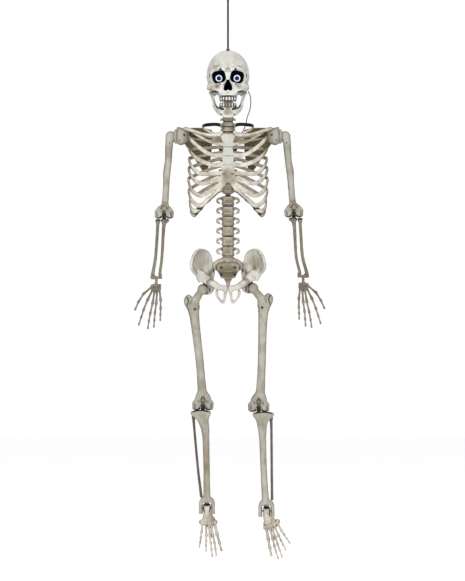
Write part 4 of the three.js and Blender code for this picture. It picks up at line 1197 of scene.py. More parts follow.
def rib_cage(mat):
    """The front and rear halves of the ribs. The chest spine is part of the rear half."""
    front = Clay((-130, -78, -676), (130, 5, -392), 1.4)
    outline = STERNUM_OUTLINE + [(-x, z) for x, z in reversed(STERNUM_OUTLINE)]
    front.add(plate(outline, 3.6, (0, -46, -420), (1, 0, 0), (0, 0.13, 1), rim=0.6), 0)
    for out in (-1, 1):
        front.path(mirrored(COSTAL_ARCH, out), [3.4, 3.8, 3.8, 3.6, 3.6, 3.4, 3, 3], 2, UP, 1.7, per=4)
        # Painted shade under the lower rim of the rib cage.
        front.paint_shade_along([outward(p, out) - vec(0, 0, 7.5) for p in COSTAL_ARCH[1:6]], 4.6, 1.0)
        for i, rib in enumerate(FRONT_RIBS):
            thick = 2.7 if i < 2 else 3.1
            radii = [thick + 0.4] + [thick] * (len(rib) - 1)
            path = mirrored(rib, out)
            path[-1] = path[-1] + vec(0, 3, 0)
            front.path(path, radii, 1.6, UP, 1.5 if i < 2 else 2.1, per=5)
            if i < 7:
                front.add(blob(path[0] + vec(6 * out, -1, 0), (5, 4.4, 5.6)), 3)
        front.cut(capsule((94 * out, -40, -650), (94 * out, 10, -646), 2.6), 1)
    for z, wide in ((-459, 16), (-486, 16), (-513, 17), (-540, 17)):
        y = -46 + 0.13 * (z + 420) - 4.4
        front.cut(capsule((-wide, y, z), (wide, y, z), 1.0), 1)
    front.cut(blob((0, -60, -415), (9, 20, 6)), 2)
    front.trim(1, RIB_SEAM_Y, True)
    front.stain((0, -54, -478), np.array((24, 20, 78)), 0.9, "cool")
    # Painted shade in the grooves across the breastbone.
    for z in (-459, -486, -513):
        front.stain((0, -55, z), np.array((19, 12, 1.8)), 0.6, "dark")
    front.stain((0, -62, -554), np.array((24, 20, 38)), 0.85)
    for out in (-1, 1):
        front.stain((62 * out, -54, -446), np.array((36, 20, 16)), 0.5)
    sculpt(front, "rib_cage_front", ["rib_cage_front"], "torso", mat["ribs"], 0.2)

    back = Clay((-130, 0, -676), (130, 82, -380), 1.4)
    column = spline([(0, 34, -412), (0, 46, -455), (0, 48, -520), (0, 40, -583.5), (0, 40, -597.5)], 12)
    heights = column[:, 2][::-1]
    count = 12
    top, bottom = -412.3, -597.5
    step = (top - bottom) / count
    for i in range(count):
        z = top - (i + 0.5) * step
        y = float(np.interp(z, heights, column[:, 1][::-1]))
        back.add(
            revolved(
                (0, y, z),
                [
                    (-step / 2, 12), (-step / 2 + 1, 14.4), (-step / 2 + 3, 14.8), (-1, 12.6),
                    (step / 2 - 3, 14.4), (step / 2 - 1, 14), (step / 2, 12),
                ],
                2,
            ),
            0.8,
        )
        reach = min(y + 24, 65)
        back.path([(0, y + 8, z), (0, y + 14, z - 3), (0, reach, z - 12)], [5, 4, 2.6], 2)
        for out in (-1, 1):
            back.path([(8 * out, y + 8, z), (18 * out, y + 12, z + 1), (25 * out, y + 13, z + 2)],
                      [5, 3.8, 3.2], 2)
    side_ends = [rib[-1] for rib in FRONT_RIBS] + [COSTAL_ARCH[-1]]
    for i, (x, _, z) in enumerate(side_ends):
        rise = SPINE_RIB_Z[i] - z
        for out in (-1, 1):
            route = [(x, -1, z), (x * 0.93, 24, z + rise * 0.12), (x * 0.68, 45, z + rise * 0.45),
                     (x * 0.36, 54, z + rise * 0.8), (12, 47, SPINE_RIB_Z[i])]
            if i == 0:
                route = [
                    (x, -1, z), (70, 24, -392), (51, 38, -389), (30, 44, -389), (17, 45, -396),
                    (10, 46, -418),
                ]
            back.path(mirrored(route, out), 2.8, 2, UP, 1.9, per=5)
            # The top back rib is painted dark as shade, as it lies at the back in shade.
            if i == 0:
                back.paint_shade_along(mirrored(route[:4], out), 10, 1.0)
    back.cut(drum((0, 40, 0), -606, -584, 8.5, 2), 0)
    back.cut(drum((0, NECK_Y, 0), -411.9, -370, 19, 2), 0)
    back.trim(1, RIB_SEAM_Y + GAP, False)
    back.trim(2, -597.5, False)
    # Painted shade at the bottom seam of the chest spine.
    back.stain((0, 40, -599), np.array((26, 26, 5)), 1.0, "dark")
    sculpt(back, "rib_cage_back", ["rib_cage_back"], "torso", mat["spine"], 0.2)


SHOULDER = JOINT["left_shoulder_swing"]
BALL = 16.0


def hub_profile(low, high, out):
    """Widest at the socket, rounding down to the ball."""
    rows = [(0.2, 21.6), (1.4, 22.4), (4, 21.8), (7, 19), (9.2, 16.6), (high - low, 14.2)]
    return [(low + t, r) for t, r in rows] if out > 0 else [(high - t, r) for t, r in reversed(rows)]


def shoulder_girdle(side, out, mat):
    """The shoulder blade with its socket block, the collar bone and the inner hub."""
    centre = outward(SHOULDER, out)
    lean = 0.62
    stretch = math.hypot(1, lean)
    clay = Clay((min(40 * out, 170 * out), -30, -546), (max(40 * out, 170 * out), 96, -384), 1.3)
    outline = [
        (0, 20), (18, 27), (38, 28), (62, 27), (81, 22), (86, 6), (83, -20), (81, -48), (75, -80),
        (64, -102), (55, -106), (42, -84), (26, -56), (8, -30), (0, -20),
    ]
    clay.add(plate(
        [(u * stretch, z) for u, z in outline], 1.7, (133 * out, 28, -426), (-out, lean, 0), UP,
        bend=-0.0012 * out, middle=(50, -20), rim=1.6,
    ), 0)
    clay.add(blob((141 * out, 8, -427), (19, 22, 25)), 3)
    clay.path(
        mirrored([(138, 20, -405), (118, 40, -410), (96, 56, -416), (66, 72, -424)], out),
        [5, 4.2, 3.6, 2.6], 3,
    )
    clay.path(
        mirrored([(138, 22, -406), (147, 16, -403), (149, 4, -404), (143, -6, -406)], out),
        [4.6, 5.6, 5.8, 4.4], 4,
    )
    clay.path(mirrored([(140, 2, -412), (130, -10, -414), (124, -18, -419)], out), [6, 5, 4], 3)
    clay.add(blob((128 * out, 14, -426), (14, 15, 20)), 8)
    clay.cut(blob(centre, BALL + 1.1), 0)
    clay.cut(drum(centre, -17.9 if out > 0 else -40, 40 if out > 0 else 17.9, 40), 0)
    clay.cut(capsule(centre + vec(-26 * out, -30, -12), centre + vec(-26 * out, -10, -12), 1.8), 1)
    clay.stain((92 * out, 50, -462), 64, 0.6)
    clay.stain((141 * out, 0, -425), 32, 0.6, "cool")
    sculpt(clay, f"{side}_scapula", [f"{side}_scapula"], "torso", mat["shaded"], 0.25)

    collar = Clay((min(16 * out, 138 * out), -72, -434), (max(16 * out, 138 * out), 4, -390), 1.1)
    collar.path(
        mirrored(
            [
                (25, -56.5, -421.5), (42, -60, -423.5), (61, -60, -423), (84, -50, -417.5),
                (102, -39, -411.5), (118, -24, -406.5), (128, -11, -404),
            ],
            out,
        ),
        [6.2, 5, 4.2, 4, 4.4, 5, 5.4], 2, UP, 1.15,
    )
    sculpt(collar, f"{side}_clavicle", [f"{side}_clavicle"], "torso", mat["ribs"], 0.25)

    low, high = (v.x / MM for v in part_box(f"{side}_shoulder_hub"))
    hub = Clay(
        (low - 3, centre[1] - 24, centre[2] - 24), (high + 3, centre[1] + 24, centre[2] + 24), 0.9,
    )
    hub.add(revolved((0, centre[1], centre[2]), hub_profile(low, high, out)), 0)
    hub.cut(blob(centre, BALL + 1.0), 0)
    sculpt(
        hub, f"{side}_shoulder_hub", [f"{side}_shoulder_hub"], f"{side}_shoulder", mat["hub"],
        0,
    )


def framed_box(name, low, high, material, body, nodes, holes, extras=(), round_by=1.2):
    """A moulded box with cut holes and added ridges."""
    clay = Clay(np.array(low) - 3, np.array(high) + 3, 0.8)
    clay.add(brick(low, high, round_by), 0)
    for shape in extras:
        clay.add(shape, 0.5)
    for shape in holes:
        clay.cut(shape, 0.3)
    return sculpt(clay, name, nodes, body, material, 0)


def supply(mat):
    """The battery box with its door, screw, two cells and the slide switch."""
    low, high = (np.array(v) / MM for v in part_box("battery_box"))
    x, front, back, bottom, top = high[0], low[1], high[1], low[2], high[2]
    wall = 1.8
    framed_box(
        "battery_box", low, high, mat["black"], "torso", ["battery_box"],
        holes=[
            brick((-x + wall, front + wall, bottom + 8), (x - wall, back + 4, top - wall), 0.6),
            brick((-6, front + 6, bottom - 2), (6, front + 11, bottom + 4), 0.2),
            drum((0, front + 10, 0), top - 4, top + 4, 1.6, 2),
            drum((0, 0, bottom + 4), back - 8, back + 4, 1.2, 1),
        ],
    )
    door_low, door_high = (np.array(v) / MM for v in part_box("battery_door"))
    ridges = [brick((-12, door_high[1] - 0.4, z), (12, door_high[1] + 0.7, z + 1.2), 0.4)
              for z in np.arange(top - 20, top - 4, 3.2)]
    framed_box(
        "battery_door", door_low, door_high, mat["black"], "torso", ["battery_door"],
        extras=ridges, holes=[drum((0, 0, bottom + 4), door_low[1] - 4, door_high[1] + 4, 1.5, 1)],
        round_by=0.7,
    )
    lathe(
        "battery_door_screw", [(back + 0.4, 0), (back + 0.4, 1.1), (back + 2.3, 1.1), (back + 2.4, 2.1),
                               (back + 3.1, 1.9), (back + 3.5, 1), (back + 3.3, 0.7), (back + 3, 0.5),
                               (back + 3, 0)],
        (0, 0, bottom + 4), 1, mat["steel"], "torso", ["battery_door_screw"], 20,
    )
    for i in (1, 2):
        a, b = (np.array(v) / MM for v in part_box(f"battery_{i}"))
        centre = ((a[0] + b[0]) / 2, (a[1] + b[1]) / 2, a[2])
        tall = b[2] - a[2]
        lathe(
            f"battery_{i}",
            [
                (0.5, 0), (0.5, 5), (0, 5.6), (0, 6.4), (0.5, 6.9), (tall - 4, 6.9), (tall - 3, 6.6),
                (tall - 2.4, 6), (tall - 2.4, 0),
            ],
            centre, 2, mat["jacket"], "torso", [f"battery_{i}"], 36,
        )
        lathe(
            f"battery_{i}_tip",
            [(tall - 2.3, 0), (tall - 2.3, 2.8), (tall - 0.6, 2.7), (tall - 0.2, 2.2), (tall - 0.1, 0)],
            centre, 2, mat["tip"], "torso", [], 24,
        )
    low, high = (np.array(v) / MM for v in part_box("power_switch"))
    ribs = [brick((x0, low[1] + 0.3, low[2] - 0.5), (x0 + 0.5, high[1] - 0.3, low[2] + 1), 0.2)
            for x0 in np.arange(low[0] + 0.6, high[0] - 0.6, 1.0)]
    clay = Clay(low - 2, high + 2, 0.35)
    clay.add(brick(low, high, 0.5), 0)
    for rib in ribs:
        clay.add(rib, 0)
    sculpt(clay, "power_switch", ["power_switch"], "switch", mat["switch"], 0)


# ---------- waist and pelvis ----------
WAIST = JOINT["waist_turn"]
LUMBAR_BOTTOM = -786.0
LUMBAR_COUNT = 6


def lumbar(mat):
    """The lower spine, standing on the sacrum, with the peg that the waist turns on."""
    top = WAIST[2]
    clay = Clay((-44, -6, LUMBAR_BOTTOM - 2), (44, 86, top + 22), 1.15)
    step = (top - LUMBAR_BOTTOM) / LUMBAR_COUNT
    for i in range(LUMBAR_COUNT):
        z = top - i * step
        y = WAIST[1] - 13 * (i + 0.5) / LUMBAR_COUNT
        clay.add(
            revolved(
                (0, y, z),
                [
                    (-step, 15), (-step + 1.2, 17), (-step + 4, 17.2), (-step + 4.8, 19.4),
                    (-step + 6.6, 20.4), (-step + 9, 18.6), (-step / 2, 16.8), (-8.5, 17.2), (-5, 19.6),
                    (-2.6, 20.2), (-1.1, 18.6), (0, 15.4),
                ],
                2,
            ),
            0.8,
        )
        # Painted shade in the grooves at each bone's rims.
        for level, amount in ((-0.2, 0.9), (-8.6, 0.4), (10.4 - step, 0.4), (4.2 - step, 0.8)):
            clay.stain((0, y, z + level), np.array((25, 25, 1.4)), amount, "dark")
        clay.stain((2 * (-1) ** i, y - 16, z - step / 2), np.array((14, 10, 6.5)), 0.75)
        middle = z - step * 0.45
        for out in (-1, 1):
            hook = [(15, 7, 5), (24, 7, 7), (31, 7, 4), (32, 6, -3), (26, 6, -7)]
            clay.path(
                [vec(px * out, y + py, middle + pz) for px, py, pz in hook], [5, 3.8, 3.6, 3.4, 2.6],
                1.6,
            )
            clay.path([vec(13 * out, y + 12, middle), vec(14 * out, y + 18, middle + 6)], [5, 4], 2)
            clay.cut(blob((15 * out, y - 15, middle), (3.4, 3, 3.4)), 2)
        clay.path(
            [(0, y + 12, middle), (0, y + 24, middle - 4), (0, y + 32, middle - 7)], [5, 3.6, 3.4], 2,
            wide=UP, ratio=1.5,
        )
    clay.trim(2, top, True)
    clay.trim(2, LUMBAR_BOTTOM + GAP, False)
    # Painted shade at the bottom seam.
    clay.stain((0, 30, LUMBAR_BOTTOM), np.array((26, 26, 3.0)), 0.9, "dark")
    clay.add(drum((0, WAIST[1], 0), top - 3, top + 18, 8, 2), 0)
    sculpt(clay, "lumbar_spine", ["lumbar_spine"], "pelvis", mat["spine"], 0.25)


def sacrum(mat):
    """The bone between the hips, with its openings and the tail."""
    clay = Clay((-52, 0, -886), (52, 76, -784), 1.15)
    right = [
        (20, 0), (28, -5), (42, -12), (47, -22), (42, -33), (32, -42), (26, -52), (23, -60), (12, -65),
        (7, -76), (4.5, -90), (0, -93),
    ]
    outline = right + [(-x, z) for x, z in reversed(right[:-1])]
    clay.add(
        plate(outline, 5.4, (0, 35, -789), (1, 0, 0), (0, -0.28, 1), bend=0.0022, middle=(0, -45)), 0,
    )
    clay.add(
        revolved((0, 32, 0), [(-803, 14), (-797, 18), (-792, 19.5), (-788.2, 18), (-785, 16)], 2), 3,
    )
    for out in (-1, 1):
        clay.path(
            [
                vec(16 * out, 30, -796), vec(30 * out, 27, -800), vec(41 * out, 28, -810),
                vec(40 * out, 30, -822),
            ],
            [7, 6, 5.6, 4], 3,
        )
        clay.path([vec(20 * out, 27, -826), vec(11 * out, 25, -829), vec(0, 24, -830)], 3, 3)
        clay.path([vec(24 * out, 30, -836), vec(13 * out, 33, -848), vec(0, 33, -850)], 3.4, 3)
        clay.cut(blob((20 * out, 24, -817.5), (4.6, 7, 3.2)), 1)
        clay.cut(blob((18 * out, 25, -838), (6, 7, 4.6)), 1)
        # Painted shade inside the openings.
        clay.stain((20 * out, 28, -817.5), np.array((7, 14, 5)), 1.0, "dark")
        clay.stain((18 * out, 30, -838), np.array((8, 14, 6.4)), 1.0, "dark")
    for i in range(5):
        z = -800 - 14 * i
        y = 40 + 0.28 * (-789 - z)
        clay.add(blob((0, y + 3, z), (4, 6, 6)), 3)
    clay.trim(2, LUMBAR_BOTTOM - 0.4, True)
    # Painted shade at the top seam.
    clay.stain((0, 30, LUMBAR_BOTTOM), np.array((26, 26, 3.4)), 0.9, "dark")
    clay.stain((0, 30, -832), np.array((27, 40, 26)), 0.85)
    sculpt(clay, "sacrum", ["sacrum"], "pelvis", mat["spine"], 0.3)


def hip_bone(side, out, mat):
    """One side of the pelvis with its socket, and the hub inside it."""
    hip = JOINT[f"{side}_hip_swing"]
    lean = 1.2
    stretch = math.hypot(1, lean)
    clay = Clay((min(-4 * out, 126 * out), -60, -932), (max(-4 * out, 126 * out), 56, -756), 1.3)
    wing = [
        (4, -24), (7, -6), (13, 6), (22, 12.5), (32, 16), (42, 16), (54, 9), (62, -4), (67, -20),
        (69, -34), (66, -49), (58, -58), (50, -66), (42, -82), (24, -90), (9, -92), (2, -76), (-2, -56),
        (0, -38),
    ]
    clay.add(plate(
        [(u * stretch, z) for u, z in wing], 2.4, (47 * out, 46, -778), (out, -lean, 0), UP,
        bend=0.0016 * out, middle=(52, -34), rim=2.4,
    ), 0)

    def reach(inward, y, z):
        return vec(hip[0] - inward * out, hip[1] + y, hip[2] + z)

    clay.add(blob(reach(12, 4, 9), (24, 20, 25)), 7)
    clay.path([reach(8, 2, 30), reach(17, -8, 20), vec(45 * out, -26, -866), vec(28 * out, -36, -877),
               vec(9 * out, -42, -880)], [13, 12, 10.5, 9, 8], 5)
    clay.path([reach(-6, -12, 46), reach(4, -2, 30)], [10, 12], 10, wide=(1, 0, 0), ratio=1.5)
    clay.path([reach(6, 8, 34), reach(10, 20, 56), vec(47 * out, 40, -812)], [14, 12, 9], 8)
    loop = [
        (34, -29, -890), (32.5, -25, -902), (26, -23, -913), (15, -25, -922), (10, -31, -911),
        (8, -40, -892),
    ]
    clay.path(mirrored(loop, out), [4.2, 3.6, 3.6, 4, 3.6, 4.4], 2)
    clay.add(blob((8 * out, -43, -886), (7, 6, 9)), 4)
    clay.cut(blob(hip, BALL + 1.5), 0)
    low, high = (v.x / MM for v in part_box(f"{side}_hip_hub"))
    clay.cut(drum((0, hip[1], hip[2]), low - 0.5, high + 0.5, 11.1), 0)
    start = hip - vec(0, 60, 60)
    end = hip + vec(0, 60, 22)
    start[0], end[0] = (hip[0], hip[0] + 80) if out > 0 else (hip[0] - 80, hip[0])
    clay.cut(brick(start, end, 0.1), 0)
    clay.trim(0, 0.6 * out, out < 0)
    clay.cut(drum(hip + vec(0, 0, -1), -70, 2, 18.8, 1), 1)
    if out > 0:
        clay.stain((82, 2, -805), np.array((22, 60, 30)), 0.5)
    else:
        clay.stain((-84, 0, -796), np.array((20, 60, 26)), 0.3)
    # Painted shade round the edge of the socket, and a short painted shade line at the back by the
    # sacrum.
    edge = [reach(20 * math.sin(a), -12, 20 * math.cos(a) - 1) for a in np.linspace(-0.5, 2.2, 14)]
    clay.paint_shade_along(edge, 4, 0.95, per=2)
    clay.paint_shade_along([(44 * out, 38, -826), (38 * out, 34, -833)], 5, 0.9)
    sculpt(clay, f"{side}_hip_bone", [f"{side}_hip_bone"], "pelvis", mat["wing"], 0.35)

    hub = Clay((low - 3, hip[1] - 14, hip[2] - 14), (high + 3, hip[1] + 14, hip[2] + 14), 0.8)
    hub.add(
        revolved((0, hip[1], hip[2]), [(low, 9.4), (low + 1, 10.5), (high - 1, 10.5), (high, 9.4)]), 0,
    )
    hub.cut(blob(hip, BALL + 1.0), 0)
    sculpt(hub, f"{side}_hip_hub", [f"{side}_hip_hub"], f"{side}_hip", mat["hub"], 0)


# ---------- hinge ends shared by elbow and knee ----------
ELBOW = dict(condyle=12.6, half=28, slot=6.3, hole=3.3, pin=2.5, bend_side=-1, shelf=24)
KNEE = dict(condyle=13.6, half=31.5, slot=7.3, hole=3.8, pin=2.9, bend_side=1, shelf=28)
RELIEF = 7.0  # the upper bone is cut away beyond this distance on the side the hinge bends to


def knuckle(clay, hinge, at):
    """Two rolled knuckles with a slot between them, and room on the side the hinge bends to."""
    r, half, slot = hinge["condyle"], hinge["half"], hinge["slot"]
    profile = [
        (-half, r - 6), (-half + 2, r - 3.4), (-half + 6, r - 1.4), (-half + 10, r), (-slot - 7, r),
        (-slot - 2.5, r - 1.4), (-slot, r - 3), (0, r - 4),
    ]
    profile += [(-x, radius) for x, radius in reversed(profile[:-1])]
    away = hinge["bend_side"]
    near, far = at[1] + away * RELIEF, at[1] + away * 40
    clay.cut(
        brick((at[0] - 60, near, at[2] - 4), (at[0] + 60, far, at[2] + hinge["shelf"] + 12), 0.1), 1.5,
    )
    clay.add(revolved(at, profile), 1.5)
    clay.cut(drum(at, -slot, slot, r + 1.2), 0.6)
    clay.cut(drum(at, -50, 50, hinge["hole"]), 0)
    for place in (-1, 1):
        groove = at + vec(place * (half - 7), 0, 0)
        clay.cut(capsule(groove + vec(0, -r - 3, 11), groove + vec(0, -r + 1, -12), 2.6), 1)
        # Painted shade in each groove and under the lips of the slot.
        clay.stain(groove + vec(0, -r, 0), np.array((3.4, 8, 12)), 0.6, "dark")
        lip = at + vec(place * (slot + 3), 0, 0)
        clay.stain(lip + vec(0, -r + 3, -9), np.array((5, 12, 7)), 0.8, "dark")
    # Painted shade along the underside of the knuckles.
    under = [at + vec(x, -0.62 * r, -0.8 * r) for x in np.linspace(-half, half, 14)]
    clay.paint_shade_along(under, 3.6, 0.95, per=1)


def shelf(clay, hinge, at, low, high, front, back, tongue=True):
    """The lower bone's rounded top with two shallow cups, and the tongue between the knuckles."""
    middle, half = (low + high) / 2, (high - low) / 2
    room = hinge["condyle"] + 2.2
    clay.add(blob((middle, at[1] + (back - front) / 2, at[2] - hinge["shelf"] + 7.5),
                  (half, (front + back) / 2, 9.5)), 1.5)
    inset = min(9, 0.14 * (high - low))
    clay.add(brick((low + inset, at[1] - front + 3, at[2] - hinge["shelf"] + 2),
                   (high - inset, at[1] + back - 2, at[2] - 8), 5 if inset > 5 else 3), 3)
    if tongue:
        slot = hinge["slot"] - 0.7
        clay.cut(drum(at, -90, -slot, room), 0)
        clay.cut(drum(at, slot, 90, room), 0)
        clay.cut(drum(at, -90, 90, hinge["condyle"] - 0.8), 0)
        clay.add(drum(at, -slot, slot, hinge["condyle"] - 0.6), 0.5)
        clay.add(
            brick(
                (at[0] - slot, at[1] - 5, at[2] - hinge["shelf"] + 2),
                (at[0] + slot, at[1] + 6, at[2] - 4), 0.8,
            ),
            0.5,
        )
        # The tongue is painted near black as shade, so that the slot reads as a dark notch.
        clay.stain(at + vec(0, -8, -3), np.array((slot + 3, 14, 14)), 1.0, "dark")
        if hinge["bend_side"] > 0:
            clay.add(blob(at + vec(0, -9, -17), (slot * 0.95, 4.6, 7)), 1)
    else:
        clay.cut(drum(at, -90, 90, room), 0)
    clay.cut(drum(at, -80, 80, hinge["hole"]), 0)
    # Painted shade along the front rim under the knuckles.
    rise = 5 if tongue else 1
    rim = [(middle + 0.92 * half * t, at[1] - front + 1, at[2] - room - 2 + rise * (1 - t * t))
           for t in np.linspace(-1, 1, 16)]
    clay.paint_shade_along(rim, 4.0, 1.0, per=1)


# ---------- arm ----------
def arm(side, out, mat):
    """The upper arm, its elbow pin, the two forearm bones and the hand."""
    shoulder, elbow = JOINT[f"{side}_shoulder_swing"], JOINT[f"{side}_elbow_bend"]
    wrist = JOINT[f"{side}_wrist_turn"]
    low = np.minimum(shoulder, elbow) - vec(36, 30, 18)
    high = np.maximum(shoulder, elbow) + vec(36, 30, 20)
    clay = Clay(low, high, 1.25)

    def along(t, off):
        return shoulder + (elbow - shoulder) * t + outward(off, out)

    clay.add(blob(shoulder, BALL - 0.2), 0)
    clay.add(blob(shoulder + vec(3 * out, -4, -3), (12.5, 11.5, 12)), 2)
    clay.path(
        [
            along(0.055, (3, 0, 0)), along(0.13, (3, -1, 0)), along(0.31, (1.3, -1, 0)),
            along(0.55, (1.8, -2, 0)), along(0.78, (0.2, -1, 0)), along(0.90, (0, 0, 0)),
        ],
        [12, 11.4, 10.2, 9.7, 9.6, 11], 4, per=6,
    )
    clay.path(
        [along(0.1, (8, -6, 0)), along(0.2, (6, -8, 0)), along(0.36, (4, -8, 0))], [3.4, 3.2, 1.8], 4,
    )
    clay.path([along(0.34, (8, 3, 0)), along(0.46, (10, 2, 0)), along(0.55, (8, 1, 0))], [3, 4, 2.4], 5)
    clay.add(blob(elbow + vec(0, 1, 13), (23.5, 8, 17)), 5)
    for place in (-1, 1):
        clay.add(blob(elbow + vec(22 * place, 1, 6), (6.5, 7.4, 10)), 4)
    knuckle(clay, ELBOW, elbow)
    clay.cut(blob(elbow + vec(1, -13, 21), (10, 9, 8.5)), 2)
    # Painted shade round the hollow above the elbow.
    clay.paint_shade_along(
        [elbow + vec(-9, -8, 18), elbow + vec(0, -9, 27), elbow + vec(10, -8, 18)], 4.2, 0.7,
    )
    clay.stain(elbow + vec(1, -10, 19), np.array((10, 12, 7)), 0.5)
    clay.cut(blob(elbow + vec(-1, 14, 24), (9, 8, 9)), 3)
    clay.cut(capsule(along(0.085, (2, -20, 0)), along(0.085, (2, -8, 0)), 1.6), 1)
    clay.stain(elbow + vec(0, -8, 24), 22, 0.5)
    if out > 0:
        clay.stain(elbow + vec(0, -6, 26), 18, 0.3, "rust")
    clay.stain(along(0.2, (-4, -6, 0)), 30, 0.3)
    sculpt(clay, f"{side}_humerus", [f"{side}_humerus"], f"{side}_upper_arm", mat["bone"], 0.3)
    screw_pin(f"{side}_elbow_pin", elbow, elbow[0] - 27, elbow[0] + 27, ELBOW["pin"], mat["steel"],
              f"{side}_upper_arm")

    def at(outside, y, down):
        return elbow + vec(outside * out, y, -down)

    drop = elbow[2] - wrist[2]
    spread = (wrist[0] - elbow[0]) * out
    box_low = np.minimum(elbow, wrist) - vec(32, 20, 4)
    box_high = np.maximum(elbow, wrist) + vec(32, 20, 16)
    clay = Clay(box_low, box_high, 1.1)
    ends = sorted((at(-15, 0, 0)[0], at(11, 0, 0)[0]))
    shelf(clay, ELBOW, elbow, ends[0], ends[1], 7, 10)
    clay.path([at(-1, 0, 21), at(1, 1, 34), at(3, 2, 62), at(7, 1, 130), at(spread - 11, -2, drop - 20),
               at(spread - 12, -3, drop - 12)], [8, 5.4, 4.8, 4.3, 4.4, 5.6], 3)
    clay.cut(blob(at(-4, -8, 20), (4, 3, 3.4)), 1.5)
    if out < 0:
        clay.stain(at(3, -3, 60), np.array((12, 14, 46)), 0.4, "rust")
    clay.stain(at(6, -2, 130), np.array((10, 14, 40)), 0.35)
    sculpt(clay, f"{side}_ulna", [f"{side}_ulna"], f"{side}_forearm", mat["forearm"], 0.25)

    clay = Clay(box_low, box_high, 1.1)
    ends = sorted((at(11.6, 0, 0)[0], at(26, 0, 0)[0]))
    shelf(clay, ELBOW, elbow, ends[0], ends[1], 7, 8, tongue=False)
    clay.path(
        [
            at(19, 0, 21), at(19.5, -1, 34), at(21, -3, 62), at(26, -4, 130),
            at(spread + 10.5, -2, drop - 16), at(spread + 9, -1, drop - 7),
        ],
        [6.6, 4.8, 4.6, 4.6, 5.2, 7.4], 3,
    )
    flange = revolved((0, 0, 0), [(0.6, 15), (2.2, 17.4), (5.4, 18), (8.4, 16.4), (9, 15)], 2)

    def squeezed(x, y, z):
        return flange[2](x - wrist[0], (y - wrist[1]) * 1.7, z - wrist[2]) * 0.7

    clay.add((wrist + flange[0], wrist + flange[1], squeezed), 2)
    clay.cut(drum((wrist[0], wrist[1], 0), wrist[2] - 4, wrist[2] + 16, 4.5, 2), 0)
    keep_off = [
        at(-1, 0, 21), at(1, 1, 34), at(3, 2, 62), at(7, 1, 130), at(spread - 11, -2, drop - 20),
        at(spread - 12, -3, drop - 11),
    ]
    clay.path(keep_off, [8.5, 6, 5.4, 4.9, 5, 6.2], 0, carve=True)
    clay.stain(at(21, -3, 70), np.array((10, 14, 40)), 0.3)
    sculpt(clay, f"{side}_radius", [f"{side}_radius"], f"{side}_forearm", mat["forearm"], 0.25)
    hand(side, out, wrist, mat)


FINGERS = [
    [(10, -2, 20), (38, -8, 44), (53, -12, 68), (63, -14, 91)],
    [(9, 0, 28), (26, -4, 62), (38, -8, 92), (45, -10, 114), (52, -12, 136)],
    [(4, 0, 30), (11, -5, 72), (18, -9, 103), (22, -12, 126), (25, -14, 147)],
    [(-3, 0, 30), (0, -4, 72), (4, -9, 101), (5.5, -12, 123), (7, -14, 143)],
    [(-9, 0, 26), (-13, -3, 62), (-13, -7, 88), (-12.5, -10, 106), (-12, -12, 123)],
]


def beaded(clay, points, thick, bead):
    """Small bones in a row, waisted, with a knuckle at each joint and a groove across it."""
    for i, (a, b) in enumerate(zip(points[:-1], points[1:])):
        size = 1 - 0.1 * i
        middle = (a + b) / 2
        clay.path([a, middle, b], [bead * size, thick * size, bead * size], 1.2, per=3)
    for i, p in enumerate(points[1:-1]):
        size = 1 - 0.1 * i
        line = unit(points[i + 2] - points[i])
        side = unit(np.cross(line, (0, 1, 0)))
        clay.add(blob(p, bead * size * 1.12), 0.8)
        reach = bead * size * 1.25
        clay.cut(
            capsule(p - side * reach + vec(0, -reach, 0), p + side * reach + vec(0, -reach, 0), 0.8),
            0.6,
        )


def hand(side, out, wrist, mat):
    """The wrist bones, the fingers and the peg that turns in the forearm."""
    low = wrist + vec(min(-26 * out, 76 * out), -24, -156)
    high = wrist + vec(max(-26 * out, 76 * out), 16, 12)
    clay = Clay(low, high, 1.0)

    def at(p):
        return wrist + vec(p[0] * out, p[1], -p[2])

    clay.add(drum((wrist[0], wrist[1], 0), wrist[2] - 22, wrist[2] + 8, 4, 2), 0)
    carpals = [
        (-10, 0, 19), (-3, 0, 18), (5, 0, 18), (12, -1, 20), (-10, -1, 27), (-2, -1, 28), (6, -1, 28),
        (13, -2, 27), (2, 0, 22),
    ]
    for spot in carpals:
        clay.add(blob(at(spot), (4.9, 5.4, 4.8)), 0.4)
    for finger in FINGERS:
        beaded(clay, [at(p) for p in finger], 2.8, 4.1)
    clay.stain(at((4, -4, 26)), 20, 0.3)
    sculpt(clay, f"{side}_hand", [f"{side}_hand"], f"{side}_wrist", mat["hand"], 0.15)


# ---------- leg ----------
LEGS = {
    "right": dict(
        trochanter=(-111, 12, -927),
        femur=[(-104, 10, -938), (-98, 2, -985), (-84, -5, -1105), (-77, -2, -1190), (-75, 1, -1214)],
        plateau=(-111, -52),
        tibia=[(-72, 2, -1262), (-67, 1, -1310), (-64, 4, -1420), (-63, 7, -1508)],
        fibula=[(-103, 10, -1268), (-101, 11, -1300), (-90, 12, -1420), (-80, 11, -1503)],
        foot_turn=6.5,
    ),
    "left": dict(
        trochanter=(114, 12, -922),
        femur=[(108, 10, -933), (104, 2, -980), (101, -5, -1105), (97, -2, -1190), (93, 1, -1218)],
        plateau=(75, 137),
        tibia=[(101, 2, -1267), (103, 1, -1315), (107, 4, -1425), (112, 7, -1515)],
        fibula=[(129, 10, -1273), (130, 11, -1305), (131, 12, -1425), (132, 11, -1511)],
        foot_turn=19,
    ),
}
FORK, TALUS_HALF = 24.5, 12.0  # half widths of the ankle fork and of the roller inside it
CROWN, DROP = 16.5, 18.0  # how far the fork's slot rises and its prongs fall from the ankle pin


